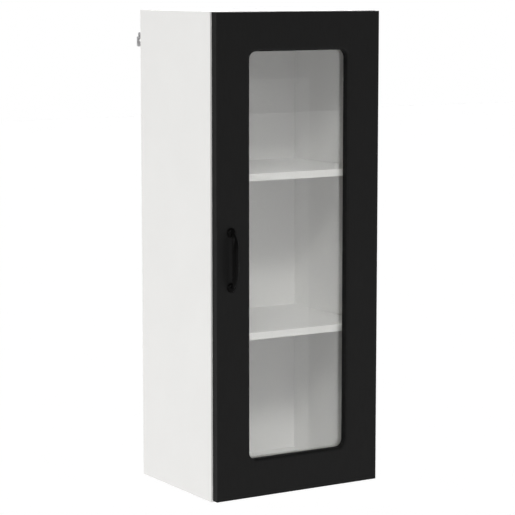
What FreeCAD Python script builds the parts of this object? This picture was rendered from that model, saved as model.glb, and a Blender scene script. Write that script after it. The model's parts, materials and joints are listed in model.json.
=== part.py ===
"""Hanging wall cabinet: a melamine carcass with two shelves and a glazed, hinged door.

Millimetres, +Z up, front towards -Y. The wall plane is y = 0 and the line of wall screws is z = 0.
"""
import FreeCAD, Part
import math
import os
import Sketcher
from FreeCAD import Placement, Rotation, Vector

DIMENSIONS = {
    # carcass
    "overall_width": 400,
    "carcass_height": 1000,
    "carcass_depth": 289.5,
    "board": 15,
    "edge_band": 0.8,
    "back_board": 3,
    "rebate": 8,
    # place on the wall
    "wall_gap": 16,
    "screw_line_drop": 64,
    # shelves, measured from the carcass bottom to each shelf's underside
    "shelf_lower_height": 327.5,
    "shelf_upper_height": 656,
    "shelf_setback": 5,
    "shelf_play": 0.5,
    "shelf_pin_radius": 2.5,
    "shelf_pin_collar_radius": 3.5,
    "shelf_pin_bore": 8,
    "shelf_pin_reach": 7.5,
    # corner joints of the carcass
    "joint_front_inset": 37,
    "joint_rear_inset": 52,
    "dowel_offset": 32,
    "dowel_radius": 4,
    "dowel_in_side": 10,
    "dowel_in_board": 23,
    "cam_radius": 7.5,
    "cam_bore": 12.5,
    "cam_cap": 1,
    "cam_inset": 24,
    "cam_bolt_radius": 3.5,
    "cam_bolt_thread_radius": 2.5,
    "cam_bolt_thread": 11,
    "cam_bolt_neck_radius": 2,
    "cam_bolt_shank": 17,
    "cam_bolt_neck": 4,
    "cam_bolt_head": 4,
    # back panel nails
    "nail_radius": 0.7,
    "nail_length": 18,
    "nail_head_radius": 2,
    "nail_head": 0.6,
    # door
    "reveal_side": 3,
    "reveal_bottom": 3,
    "reveal_top": 1,
    "door_thickness": 18,
    "door_gap": 2.5,
    "window_margin": 79,
    "window_corner": 16,
    "window_round": 6,
    "door_edge_round": 2,
    "glass_thickness": 4,
    "glass_rebate": 2,
    "glass_lap": 8,
    "glass_play": 0.5,
    "clip_width": 12,
    "clip_overlap": 5,
    "clip_end_distance": 141,
    "clip_length": 16,
    "clip_thickness": 3,
    "clip_screw_radius": 1.25,
    "clip_screw_bite": 10,
    "clip_screw_head_radius": 3,
    "clip_screw_head": 1.5,
    # handle
    "handle_inset": 33.3,
    "handle_half_spacing": 56,
    "handle_foot_radius": 10,
    "handle_foot": 3,
    "handle_dome_radius": 12,
    "handle_dome_sink": 7.5,
    "handle_reach": 18,
    "handle_grip_half_width": 7.2,
    "handle_end_half_width": 3.8,
    "handle_grip_half_depth": 4.5,
    "handle_end_half_depth": 3.6,
    "handle_thread": 6,
    "handle_screw_radius": 2,
    "handle_screw_play": 0.2,
    "handle_screw_head_radius": 4,
    "handle_screw_head": 2.5,
    # door bumpers
    "bumper_radius": 4,
    "bumper_thickness": 2.2,
    "bumper_inset": 4.5,
    "bumper_height_inset": 24,
    # cup hinges
    "hinge_end_inset": 100,
    "cup_radius": 17.5,
    "cup_wall": 1,
    "cup_depth": 13,
    "cup_edge_distance": 3,
    "wing_thickness": 1.2,
    "wing_half_height": 31,
    "wing_edge_gap": 3.2,
    "wing_inner_reach": 18.5,
    "cup_screw_offset": 6,
    "cup_screw_half_spacing": 24,
    "cup_screw_radius": 1.75,
    "cup_screw_bite": 11,
    "cup_screw_head_radius": 3.4,
    "cup_screw_head": 1.4,
    "pin_edge_distance": 7.6,
    "pin_depth": 8,
    "pin_radius": 1.5,
    "pin_clearance": 0.05,
    "pin_half_length": 8,
    "lug_play": 0.4,
    "lug_half_width": 3.2,
    "lug_outer_reach": 4.8,
    "eye_radius": 2.5,
    "eye_half_height": 4,
    "neck_thickness": 2,
    "neck_reach": 16.4,
    "arm_width": 9,
    "arm_half_height": 9,
    "arm_wall": 1.5,
    "arm_length": 60,
    "arm_start": 10,
    "plate_thickness": 3,
    "plate_setback": 13.5,
    "plate_length": 50,
    "plate_line": 37,
    "plate_wing_half_width": 8,
    "plate_wing_half_height": 25,
    "plate_screw_half_spacing": 17,
    "plate_screw_bite": 13,
    "adjusting_screw_radius": 2.5,
    "adjusting_screw_head_radius": 4,
    "adjusting_screw_head": 2,
    "adjusting_screw_spacing": 22,
    # hangers
    "housing_width": 18,
    "housing_depth": 45,
    "housing_low": -14,
    "housing_high": 40,
    "housing_wall": 4,
    "housing_cap": 1.5,
    "cavity_low": 2,
    "cavity_high": 22,
    "hook_centre_inset": 8,
    "hook_half_width": 6,
    "hook_play": 0.5,
    "hook_thickness": 3,
    "hook_front": 50,
    "hook_tab_low": 3,
    "hook_lip_low": 9,
    "hook_lip_gap": 2.5,
    "depth_screw_height": 10,
    "height_screw_height": -6,
    "hanger_screw_radius": 3,
    "hanger_screw_play": 0.3,
    "hanger_screw_head_radius": 5,
    "hanger_screw_head": 2,
    "depth_screw_length": 32,
    "height_screw_length": 24,
    "fixing_radius": 2,
    "fixing_head_radius": 4,
    "fixing_head": 3,
    "fixing_bite": 12,
    "fixing_front_inset": 14,
    "fixing_rear_inset": 10,
    "fixing_top_inset": 9,
    # wall plates
    "plate_steel": 2,
    "wall_plate_inner": 140,
    "wall_plate_low": -13,
    "wall_plate_step": 6,
    "wall_plate_high": 17,
    "wall_plate_lip": 8,
    "wall_hole_outer": 192,
    "wall_hole_inner": 148,
    "wall_hole_radius": 2.75,
}
SIDE_NAILS = 8
END_NAILS = 3
GRIP_ANGLES = (6, 20, 35, 50, 64, 77, 90, 103, 116, 130, 145, 160, 174)
TINY_VOLUME = 0.01
TINY_LENGTH = 0.01

doc = FreeCAD.newDocument("HangingCabinet")
sheet = doc.addObject("Spreadsheet::Sheet", "Dims")
for row, (alias, number) in enumerate(DIMENSIONS.items(), start=1):
    sheet.set(f"A{row}", alias)
    sheet.set(f"B{row}", str(number))
    sheet.setAlias(f"B{row}", alias)
doc.recompute()


class Size:
    """A length, held both as a number and as the sheet expression that gives it."""

    def __init__(self, number, text):
        self.number = number
        self.text = text

    def __add__(self, other):
        other = as_size(other)
        return Size(self.number + other.number, f"({self.text} + {other.text})")

    def __sub__(self, other):
        other = as_size(other)
        return Size(self.number - other.number, f"({self.text} - {other.text})")

    def __mul__(self, factor):
        return Size(self.number * factor, f"({self.text} * {factor})")

    def __neg__(self):
        return self * -1


def as_size(quantity):
    """A plain number becomes a constant size."""
    return quantity if isinstance(quantity, Size) else Size(quantity, f"({quantity})")


def dim(alias):
    """The size kept in the sheet under this alias."""
    return Size(DIMENSIONS[alias], "Dims." + alias)


def bind(target, path, size):
    """Tie one property of an object to the sheet."""
    target.setExpression(path, as_size(size).text)


def bind_base(target, x, y, z):
    """Tie the three coordinates of an object's Placement to the sheet."""
    for axis, size in zip("xyz", (x, y, z)):
        bind(target, "Placement.Base." + axis, size)


# ---- sketched bodies -------------------------------------------------------------------------

PLANE_SIGN = {"XY": 1, "XZ": -1, "YZ": 1}


def new_body(label, x, y, z):
    """An empty body whose own origin is at this corner of the piece."""
    body = doc.addObject("PartDesign::Body", label)
    bind_base(body, x, y, z)
    return body


def pin_point(sketch, geometry, position, axis, size):
    """Fix one coordinate of a point of the sketch to a size."""
    size = as_size(size)
    constraint = Sketcher.Constraint("Distance" + axis, -1, 1, geometry, position, size.number)
    index = sketch.addConstraint(constraint)
    bind(sketch, f"Constraints[{index}]", size)


def outline(*corners):
    """A closed outline of straight lines through the corners."""
    def draw(sketch):
        points = [Vector(as_size(u).number, as_size(v).number, 0) for u, v in corners]
        first = sketch.GeometryCount
        count = len(points)
        for index in range(count):
            sketch.addGeometry(Part.LineSegment(points[index], points[(index + 1) % count]))
        for index in range(count):
            following = first + (index + 1) % count
            sketch.addConstraint(Sketcher.Constraint("Coincident", first + index, 2, following, 1))
            pin_point(sketch, first + index, 1, "X", corners[index][0])
            pin_point(sketch, first + index, 1, "Y", corners[index][1])
    return draw


def rectangle(left, low, right, high):
    """A rectangle between two corners."""
    return outline((left, low), (right, low), (right, high), (left, high))


def rounded_rectangle(left, low, right, high, corner):
    """A rectangle with equal round corners, drawn anticlockwise from its lower side."""
    def draw(sketch):
        x0, y0, x1, y1, radius = (as_size(size).number for size in (left, low, right, high, corner))
        sides = [((x0 + radius, y0), (x1 - radius, y0)), ((x1, y0 + radius), (x1, y1 - radius)),
                 ((x1 - radius, y1), (x0 + radius, y1)), ((x0, y1 - radius), (x0, y0 + radius))]
        centres = [(x1 - radius, y0 + radius), (x1 - radius, y1 - radius),
                   (x0 + radius, y1 - radius), (x0 + radius, y0 + radius)]
        first = sketch.GeometryCount
        for turn, (side, centre) in enumerate(zip(sides, centres)):
            sketch.addGeometry(Part.LineSegment(Vector(*side[0], 0), Vector(*side[1], 0)))
            circle = Part.Circle(Vector(*centre, 0), Vector(0, 0, 1), radius)
            start = math.radians(90 * turn - 90)
            sketch.addGeometry(Part.ArcOfCircle(circle, start, start + math.pi / 2))
        for turn in range(4):
            line = first + 2 * turn
            following = first + (2 * turn + 2) % 8
            sketch.addConstraint(Sketcher.Constraint("Tangent", line, 2, line + 1, 1))
            sketch.addConstraint(Sketcher.Constraint("Tangent", line + 1, 2, following, 1))
            direction = "Horizontal" if turn % 2 == 0 else "Vertical"
            sketch.addConstraint(Sketcher.Constraint(direction, line))
            if turn:
                sketch.addConstraint(Sketcher.Constraint("Equal", first + 1, line + 1))
        index = sketch.addConstraint(Sketcher.Constraint("Radius", first + 1, radius))
        bind(sketch, f"Constraints[{index}]", corner)
        for turn, (axis, size) in enumerate((("Y", low), ("X", right), ("Y", high), ("X", left))):
            pin_point(sketch, first + 2 * turn, 1, axis, size)
    return draw


def disc(u, v, radius):
    """A circle about a centre."""
    def draw(sketch):
        centre = Vector(as_size(u).number, as_size(v).number, 0)
        index = sketch.addGeometry(Part.Circle(centre, Vector(0, 0, 1), as_size(radius).number))
        constraint = sketch.addConstraint(Sketcher.Constraint("Radius", index, as_size(radius).number))
        bind(sketch, f"Constraints[{constraint}]", radius)
        pin_point(sketch, index, 3, "X", u)
        pin_point(sketch, index, 3, "Y", v)
    return draw


def extrude(body, kind, plane, start, end, outlines):
    """Pad or pocket the outlines of one plane between two places along the plane's own axis."""
    sketch = body.newObject("Sketcher::SketchObject", f"{body.Name}_{plane}")
    support = [item for item in body.Origin.OriginFeatures if item.Role == plane + "_Plane"]
    sketch.AttachmentSupport = [(support[0], "")]
    sketch.MapMode = "FlatFace"
    bind(sketch, "AttachmentOffset.Base.z", as_size(start) * PLANE_SIGN[plane])
    for draw in outlines:
        draw(sketch)
    feature = body.newObject("PartDesign::" + kind, f"{body.Name}_{kind}")
    feature.Profile = sketch
    bind(feature, "Length", as_size(end) - start)
    feature.Reversed = (PLANE_SIGN[plane] < 0) == (kind == "Pad")
    body.Tip = feature
    return feature


def pad(body, plane, start, end, *outlines):
    """Add material between two places along the plane's axis."""
    return extrude(body, "Pad", plane, start, end, outlines)


def pocket(body, plane, start, end, *outlines):
    """Take material away between two places along the plane's axis."""
    return extrude(body, "Pocket", plane, start, end, outlines)


def round_edges(body, radius, wanted):
    """Fillet the edges of the body's tip whose bounding box passes the test."""
    doc.recompute()
    base = body.Tip
    names = [f"Edge{number}" for number, edge in enumerate(base.Shape.Edges, start=1)
             if wanted(edge.BoundBox)]
    fillet = body.newObject("PartDesign::Fillet", body.Name + "_round")
    fillet.Base = (base, names)
    bind(fillet, "Radius", radius)
    body.Tip = fillet
    return fillet


# ---- solid primitives ------------------------------------------------------------------------

AXIS_TURN = {"x": Rotation(Vector(0, 1, 0), 90), "y": Rotation(Vector(1, 0, 0), -90),
             "z": Rotation()}


def box(x0, y0, z0, x1, y1, z1):
    """A block between two corners."""
    block = doc.addObject("Part::Box", "block")
    bind(block, "Length", as_size(x1) - x0)
    bind(block, "Width", as_size(y1) - y0)
    bind(block, "Height", as_size(z1) - z0)
    bind_base(block, x0, y0, z0)
    return block


def rod(axis, x, y, z, radius, length):
    """A cylinder that starts at a point and runs along one axis."""
    cylinder = doc.addObject("Part::Cylinder", "rod")
    cylinder.Placement = Placement(Vector(), AXIS_TURN[axis])
    bind(cylinder, "Radius", radius)
    bind(cylinder, "Height", length)
    bind_base(cylinder, x, y, z)
    return cylinder


def joined(*pieces, label="joined"):
    """One solid from several that overlap."""
    union = doc.addObject("Part::MultiFuse", label)
    union.Shapes = list(pieces)
    return union


def cut(base, *tools, label="cut"):
    """A solid less one or more others."""
    result = doc.addObject("Part::Cut", label)
    result.Base = base
    result.Tool = tools[0] if len(tools) == 1 else joined(*tools)
    return result


def group(label, pieces):
    """Identical fasteners as separate solids of one sub-part."""
    compound = doc.addObject("Part::Compound", label)
    compound.Links = list(pieces)
    return compound


def mirrored(label, source):
    """The same piece on the other side of the plane x = 0."""
    copy = doc.addObject("Part::Mirroring", label)
    copy.Source = source
    copy.Normal = Vector(1, 0, 0)
    return copy


# ---- driving places, in the cabinet's frame -----------------------------------------------------

half_width = dim("overall_width") * 0.5
inner_half_width = half_width - dim("board")
rear = -dim("wall_gap")
front = rear - dim("carcass_depth")
board_front = front + dim("edge_band")
top = dim("screw_line_drop")
bottom = top - dim("carcass_height")
board_depth = dim("carcass_depth") - dim("edge_band")
back_front = rear - dim("back_board")
inner_width = inner_half_width * 2

door_back = front - dim("door_gap")
door_front = door_back - dim("door_thickness")
door_half_width = half_width - dim("reveal_side")
door_bottom = bottom + dim("reveal_bottom")
door_top = top - dim("reveal_top")
door_width = door_half_width * 2
door_height = door_top - door_bottom
door_middle = (door_top + door_bottom) * 0.5

shelf_undersides = {"upper": bottom + dim("shelf_upper_height"),
                    "lower": bottom + dim("shelf_lower_height")}
shelf_front = front + dim("shelf_setback")
shelf_board_front = shelf_front + dim("edge_band")
shelf_rear = back_front - dim("shelf_play")

joint_fronts = [front + dim("joint_front_inset"), rear - dim("joint_rear_inset")]
dowel_lines = [joint_fronts[0] + dim("dowel_offset"), joint_fronts[1] - dim("dowel_offset")]
board_middles = {"top": top - dim("board") * 0.5, "bottom": bottom + dim("board") * 0.5}

pin_x = door_half_width - dim("pin_edge_distance")
pin_y = door_back - dim("pin_depth")
cup_x = door_half_width - dim("cup_edge_distance") - dim("cup_radius")
cup_floor = door_back - dim("cup_depth")
cup_screw_x = cup_x - dim("cup_screw_offset")
hinge_heights = {"upper": door_top - dim("hinge_end_inset"), "middle": door_middle,
                 "lower": door_bottom + dim("hinge_end_inset")}
plate_x = inner_half_width - dim("plate_thickness")
plate_line_y = front + dim("plate_line")
arm_x = plate_x - dim("arm_width")
arm_front = pin_y + dim("arm_start")
adjusting_lines = [plate_line_y + dim("adjusting_screw_spacing") * 0.5,
                   plate_line_y - dim("adjusting_screw_spacing") * 0.5]

handle_x = -door_half_width + dim("handle_inset")
handle_heights = [door_middle - dim("handle_half_spacing"), door_middle + dim("handle_half_spacing")]

hook_x = inner_half_width - dim("hook_centre_inset")
hook_inner = hook_x - dim("hook_half_width")
hook_outer = hook_x + dim("hook_half_width")
housing_inner = inner_half_width - dim("housing_width")
housing_front = back_front - dim("housing_depth")
fixing_places = [(housing_front + dim("fixing_front_inset"), dim("housing_high") - dim("fixing_top_inset")),
                 (back_front - dim("fixing_rear_inset"), dim("height_screw_height"))]

glass_rear = door_back - dim("glass_rebate") + dim("glass_thickness")
clip_rear = glass_rear + dim("clip_thickness")
clip_line = dim("window_margin") - dim("clip_overlap")
clip_side_x = door_half_width - clip_line
clip_heights = [door_bottom + dim("clip_end_distance"), door_middle, door_top - dim("clip_end_distance")]
clip_end_xs = [-dim("window_margin"), dim("window_margin")]


# ---- carcass -------------------------------------------------------------------------------------

def side_panel():
    """Right side board: rebate for the back, bores for dowels, cam bolts, shelf pins and screws."""
    x, y, z = inner_half_width, board_front, bottom
    body = new_body("side_panel_right", x, y, z)
    pad(body, "XY", 0, dim("carcass_height"), rectangle(0, 0, dim("board"), board_depth))
    pocket(body, "XY", 0, dim("carcass_height"),
           rectangle(0, board_depth - dim("back_board"), dim("rebate"), board_depth))
    bolt_bores = [disc(line - y, middle - z, dim("cam_bolt_thread_radius"))
                  for line in joint_fronts for middle in board_middles.values()]
    pocket(body, "YZ", 0, dim("cam_bolt_thread"), *bolt_bores)
    dowel_bores = [disc(line - y, middle - z, dim("dowel_radius"))
                   for line in dowel_lines for middle in board_middles.values()]
    pocket(body, "YZ", 0, dim("dowel_in_side"), *dowel_bores)
    pin_bores = [disc(line - y, underside - dim("shelf_pin_collar_radius") - z, dim("shelf_pin_radius"))
                 for line in joint_fronts for underside in shelf_undersides.values()]
    pocket(body, "YZ", 0, dim("shelf_pin_bore"), *pin_bores)
    plate_bores = [disc(plate_line_y - y, height + shift - z, dim("cup_screw_radius"))
                   for height in hinge_heights.values()
                   for shift in (-dim("plate_screw_half_spacing"), dim("plate_screw_half_spacing"))]
    pocket(body, "YZ", 0, dim("plate_screw_bite"), *plate_bores)
    fixing_bores = [disc(line - y, height - z, dim("fixing_radius")) for line, height in fixing_places]
    pocket(body, "YZ", 0, dim("fixing_bite"), *fixing_bores)
    return body


def end_panel(label, low, outer_is_high):
    """Top or bottom board between the sides: rebate, cam bores from outside, dowel and bolt bores."""
    x, y = -inner_half_width, board_front
    board = dim("board")
    body = new_body(label, x, y, low)
    pad(body, "XY", 0, board, rectangle(0, 0, inner_width, board_depth))
    rebate_start = 0 if outer_is_high else board - dim("rebate")
    rebate_end = dim("rebate") if outer_is_high else board
    pocket(body, "XY", rebate_start, rebate_end,
           rectangle(0, board_depth - dim("back_board"), inner_width, board_depth))
    cam_start = board - dim("cam_bore") if outer_is_high else 0
    cam_end = board if outer_is_high else dim("cam_bore")
    cams = [disc(reach, line - y, dim("cam_radius")) for line in joint_fronts
            for reach in (dim("cam_inset"), inner_width - dim("cam_inset"))]
    pocket(body, "XY", cam_start, cam_end, *cams)
    bolts = [disc(line - y, board * 0.5, dim("cam_bolt_radius")) for line in joint_fronts]
    dowels = [disc(line - y, board * 0.5, dim("dowel_radius")) for line in dowel_lines]
    bolt_end = inner_width - dim("cam_inset")
    pocket(body, "YZ", 0, dim("cam_inset"), *bolts)
    pocket(body, "YZ", bolt_end, inner_width, *bolts)
    pocket(body, "YZ", 0, dim("dowel_in_board"), *dowels)
    pocket(body, "YZ", inner_width - dim("dowel_in_board"), inner_width, *dowels)
    return body


def back_panel():
    """Thin back board in its rebate, with a slot for each hanger hook."""
    half = inner_half_width + dim("rebate")
    low = bottom + dim("board") - dim("rebate")
    high = top - dim("board") + dim("rebate")
    body = new_body("back_panel", -half, back_front, low)
    pad(body, "XZ", 0, dim("back_board"), rectangle(0, 0, half * 2, high - low))
    slot_low = dim("cavity_low") - low
    slot_high = dim("cavity_high") - low
    play = dim("hook_play") * 2
    for inner, outer in ((hook_inner, hook_outer), (-hook_outer, -hook_inner)):
        slot = rectangle(half + inner - play, slot_low, half + outer + play, slot_high)
        pocket(body, "XZ", 0, dim("back_board"), slot)
    return body


def shelf(label, underside):
    """A plain loose board that lies on four pins."""
    half = inner_half_width - dim("shelf_play")
    body = new_body(label, -half, shelf_board_front, underside)
    pad(body, "XY", 0, dim("board"), rectangle(0, 0, half * 2, shelf_rear - shelf_board_front))
    return body


def edge_bands():
    """Glued strips on the front edges of the carcass boards and the shelves."""
    strips = [box(inner_half_width, front, bottom, half_width, board_front, top),
              box(-half_width, front, bottom, -inner_half_width, board_front, top)]
    for low in (bottom, top - dim("board")):
        strips.append(box(-inner_half_width, front, low, inner_half_width, board_front,
                          low + dim("board")))
    half = inner_half_width - dim("shelf_play")
    for underside in shelf_undersides.values():
        strips.append(box(-half, shelf_front, underside, half, shelf_board_front,
                          underside + dim("board")))
    return group("edge_bands", strips)


def across(place, side, reach, radius, length):
    """A rod along x that starts at a distance from the middle and runs outwards on one side."""
    line, height = place
    start = reach if side > 0 else -reach - length
    return rod("x", start, line, height, radius, length)


def corner_places(lines):
    """Every joint line at the middle of the top and bottom boards."""
    return [(line, middle) for line in lines for middle in board_middles.values()]


def dowels():
    """Beech dowels, half in the side board and half in the end board."""
    length = dim("dowel_in_side") + dim("dowel_in_board")
    start = inner_half_width - dim("dowel_in_board")
    return group("dowels", [across(place, side, start, dim("dowel_radius"), length)
                            for place in corner_places(dowel_lines) for side in (1, -1)])


def cam_bolt(place, side):
    """A bolt screwed into the side board, with a neck and a head that the cam pulls on."""
    shank_start = inner_half_width - dim("cam_bolt_shank")
    neck_start = shank_start - dim("cam_bolt_neck")
    head_start = neck_start - dim("cam_bolt_head")
    head_radius = dim("cam_bolt_radius")
    return joined(
        across(place, side, inner_half_width, dim("cam_bolt_thread_radius"), dim("cam_bolt_thread")),
        across(place, side, shank_start, dim("cam_bolt_radius"), dim("cam_bolt_shank")),
        across(place, side, neck_start, dim("cam_bolt_neck_radius"), dim("cam_bolt_neck")),
        across(place, side, head_start, head_radius, dim("cam_bolt_head")))


def cam_parts(name):
    """The start height, thickness and outer direction of the cams in one end board."""
    thickness = dim("cam_bore") - dim("cam_cap")
    if name == "top":
        return top - dim("cam_bore"), thickness, top - dim("cam_cap")
    return bottom + dim("cam_cap"), thickness, bottom


def cam_lock(line, name, side):
    """A cam disc with a socket for the bolt head."""
    start, thickness, _ = cam_parts(name)
    x = (inner_half_width - dim("cam_inset")) * side
    wheel = rod("z", x, line, start, dim("cam_radius"), thickness)
    reach = inner_half_width - dim("cam_inset") - dim("cam_bolt_head")
    socket = across((line, board_middles[name]), side, reach, dim("cam_bolt_radius"),
                    dim("cam_inset"))
    return cut(wheel, socket)


def cam_cap(line, name, side):
    """A flush plastic disc over the cam."""
    _, _, start = cam_parts(name)
    x = (inner_half_width - dim("cam_inset")) * side
    return rod("z", x, line, start, dim("cam_radius"), dim("cam_cap"))


def shelf_pin(line, underside, side):
    """A steel pin with a collar that the shelf lies on."""
    place = (line, underside - dim("shelf_pin_collar_radius"))
    return joined(
        across(place, side, inner_half_width, dim("shelf_pin_radius"), dim("shelf_pin_bore")),
        across(place, side, inner_half_width - dim("shelf_pin_reach"), dim("shelf_pin_collar_radius"),
               dim("shelf_pin_reach")))


def nail(x, z):
    """A thin nail with a flat head behind the back board."""
    return joined(
        rod("y", x, rear - dim("nail_length"), z, dim("nail_radius"), dim("nail_length")),
        rod("y", x, rear, z, dim("nail_head_radius"), dim("nail_head")))


def back_panel_nails():
    """Nails round the edge of the back board."""
    line_x = inner_half_width + dim("rebate") * 0.5
    nails = []
    for number in range(SIDE_NAILS):
        share = (number + 0.5) / SIDE_NAILS
        height = bottom + dim("carcass_height") * share
        nails += [nail(line_x, height), nail(-line_x, height)]
    for edge_height in (top - dim("board") + dim("rebate") * 0.5,
                        bottom + dim("board") - dim("rebate") * 0.5):
        for number in range(END_NAILS):
            share = (number + 0.5) / END_NAILS - 0.5
            nails.append(nail(inner_width * share, edge_height))
    return group("back_panel_nails", nails)


# ---- hangers, built on the right and mirrored to the left -------------------------------------------

def hanger_screw(label, height, length):
    """An adjusting screw along y with its head sunk in the housing's front."""
    head_end = housing_front + dim("hanger_screw_head")
    return joined(
        rod("y", hook_x, housing_front, height, dim("hanger_screw_head_radius"),
            dim("hanger_screw_head")),
        rod("y", hook_x, head_end, height, dim("hanger_screw_radius"), length), label=label)


def screw_room(height, length):
    """The bore for an adjusting screw."""
    return [rod("y", hook_x, housing_front, height, dim("hanger_screw_head_radius"),
                dim("hanger_screw_head")),
            rod("y", hook_x, housing_front, height, dim("hanger_screw_radius"),
                dim("hanger_screw_head") + length)]


def fixing(line, height):
    """A countersunk screw from the housing into the side board."""
    head_end = housing_inner + dim("fixing_head")
    length = dim("housing_width") - dim("fixing_head") + dim("fixing_bite")
    return joined(
        rod("x", housing_inner, line, height, dim("fixing_head_radius"), dim("fixing_head")),
        rod("x", head_end, line, height, dim("fixing_radius"), length))


def hanger_housing():
    """Moulded block in the upper rear corner, hollow for the hook and bored for its screws."""
    block = box(housing_inner, housing_front, dim("housing_low"),
                inner_half_width, back_front, dim("housing_high"))
    cavity = box(hook_inner - dim("hook_play"), housing_front + dim("housing_wall"), dim("cavity_low"),
                 hook_outer + dim("hook_play"), back_front, dim("cavity_high"))
    bores = screw_room(dim("depth_screw_height"), dim("housing_wall"))
    bores += screw_room(dim("height_screw_height"), dim("height_screw_length"))
    for line, height in fixing_places:
        bores.append(fixing(line, height))
    return cut(block, cavity, *bores, label="hanger_housing_right")


def hanger_cap():
    """Snap cover on the housing's inner face."""
    return box(housing_inner - dim("housing_cap"), housing_front, dim("housing_low"),
               housing_inner, back_front, dim("housing_high"))


def hanger_hook():
    """Steel hook: a tab on the depth screw, an arm through the back board and a lip behind the plate."""
    start = -dim("hook_front")
    thickness = dim("hook_thickness")
    arm_low = dim("wall_plate_high")
    arm_high = arm_low + thickness
    lip_rear = -dim("hook_lip_gap")
    body = new_body("hanger_hook_right", hook_inner, 0, 0)
    pad(body, "YZ", 0, hook_outer - hook_inner, outline(
        (start, dim("hook_tab_low")), (start + thickness, dim("hook_tab_low")),
        (start + thickness, arm_low), (lip_rear - thickness, arm_low),
        (lip_rear - thickness, dim("hook_lip_low")), (lip_rear, dim("hook_lip_low")),
        (lip_rear, arm_high), (start, arm_high)))
    pocket(body, "XZ", start, start + thickness,
           disc(hook_x - hook_inner, dim("depth_screw_height"),
                dim("hanger_screw_radius") + dim("hanger_screw_play")))
    return body


def wall_plate():
    """Z-shaped steel plate: the base is screwed to the wall and the lip carries the hook."""
    steel = dim("plate_steel")
    step = dim("wall_plate_step")
    lip = -dim("wall_plate_lip")
    body = new_body("wall_plate_right", dim("wall_plate_inner"), 0, 0)
    pad(body, "YZ", 0, half_width - dim("wall_plate_inner"), outline(
        (-steel, dim("wall_plate_low")), (0, dim("wall_plate_low")), (0, step + steel),
        (lip + steel, step + steel), (lip + steel, dim("wall_plate_high")),
        (lip, dim("wall_plate_high")), (lip, step), (-steel, step)))
    holes = [disc(dim(alias) - dim("wall_plate_inner"), 0, dim("wall_hole_radius"))
             for alias in ("wall_hole_inner", "wall_hole_outer")]
    pocket(body, "XZ", -steel, 0, *holes)
    return body


# ---- hinges --------------------------------------------------------------------------------------

def hinge_cup(label, height):
    """Cup pressed into the door, with its flange and the two lugs that hold the pin."""
    wall = dim("cup_wall")
    flange_rear = door_back + dim("wing_thickness")
    shell = rod("y", cup_x, cup_floor, height, dim("cup_radius"), dim("cup_depth"))
    hollow = rod("y", cup_x, cup_floor + wall, height, dim("cup_radius") - wall,
                 dim("cup_depth") + dim("wing_thickness"))
    wing = box(cup_x - dim("wing_inner_reach"), door_back, height - dim("wing_half_height"),
               door_half_width - dim("wing_edge_gap"), flange_rear, height + dim("wing_half_height"))
    screw_holes = [rod("y", cup_screw_x, door_back, height + shift, dim("cup_screw_radius"),
                       dim("wing_thickness"))
                   for shift in (-dim("cup_screw_half_spacing"), dim("cup_screw_half_spacing"))]
    bowl = cut(joined(shell, wing), hollow, *screw_holes)
    lug_start = dim("eye_half_height") + dim("lug_play")
    lugs = [box(pin_x - dim("lug_half_width"), cup_floor + wall * 0.5, low,
                pin_x + dim("lug_outer_reach"), pin_y + dim("lug_half_width"), high)
            for low, high in ((height + lug_start, height + dim("pin_half_length")),
                              (height - dim("pin_half_length"), height - lug_start))]
    room = rod("y", cup_x, cup_floor, height, dim("cup_radius") - wall * 0.5, dim("cup_depth"))
    fitted = doc.addObject("Part::MultiCommon", "fitted_lugs")
    fitted.Shapes = [joined(*lugs), room]
    pin_bore = rod("z", pin_x, pin_y, height - dim("pin_half_length") - wall, dim("pin_radius"),
                   (dim("pin_half_length") + wall) * 2)
    return cut(joined(bowl, fitted), pin_bore, label=label)


def hinge_arm(label, height):
    """Goose-neck arm: an eye on the pin, a neck out of the cup and a channel on the side plate."""
    eye_half = dim("eye_half_height")
    neck = dim("neck_thickness")
    low, high = height - eye_half, height + eye_half
    neck_x = pin_x - dim("neck_reach")
    neck_y = pin_y - dim("eye_radius")
    eye = rod("z", pin_x, pin_y, low, dim("eye_radius"), eye_half * 2)
    foot = box(neck_x, neck_y, low, pin_x, neck_y + neck, high)
    riser = box(neck_x, neck_y, low, neck_x + neck, arm_front + dim("arm_wall") * 2, high)
    channel = box(arm_x, arm_front, height - dim("arm_half_height"),
                  plate_x, arm_front + dim("arm_length"), height + dim("arm_half_height"))
    inside = dim("arm_half_height") - dim("arm_wall")
    hollow = box(arm_x + dim("arm_wall"), arm_front, height - inside,
                 plate_x, arm_front + dim("arm_length"), height + inside)
    bore = rod("z", pin_x, pin_y, low, dim("pin_radius") + dim("pin_clearance"), eye_half * 2)
    screw_holes = [rod("x", arm_x, line, height, dim("adjusting_screw_radius"), dim("arm_wall"))
                   for line in adjusting_lines]
    return cut(joined(eye, foot, riser, cut(channel, hollow)), bore, *screw_holes, label=label)


def hinge_plate(label, height):
    """Cross-shaped mounting plate on the side board."""
    half = dim("plate_wing_half_height")
    body = new_body(label, plate_x, front + dim("plate_setback"), height - half)
    line = plate_line_y - front - dim("plate_setback")
    arm = dim("arm_half_height")
    wing = dim("plate_wing_half_width")
    pad(body, "YZ", 0, dim("plate_thickness"),
        rectangle(0, half - arm, dim("plate_length"), half + arm))
    pad(body, "YZ", 0, dim("plate_thickness"), rectangle(line - wing, 0, line + wing, half * 2))
    holes = [disc(line, half + shift, dim("cup_screw_radius"))
             for shift in (-dim("plate_screw_half_spacing"), dim("plate_screw_half_spacing"))]
    holes += [disc(place - front - dim("plate_setback"), half, dim("adjusting_screw_radius"))
              for place in adjusting_lines]
    pocket(body, "YZ", 0, dim("plate_thickness"), *holes)
    return body


def hinge_pins():
    """The three hinge pins, held in the cups' lugs."""
    return group("hinge_pins", [
        rod("z", pin_x, pin_y, height - dim("pin_half_length"), dim("pin_radius"),
            dim("pin_half_length") * 2)
        for height in hinge_heights.values()])


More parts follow.
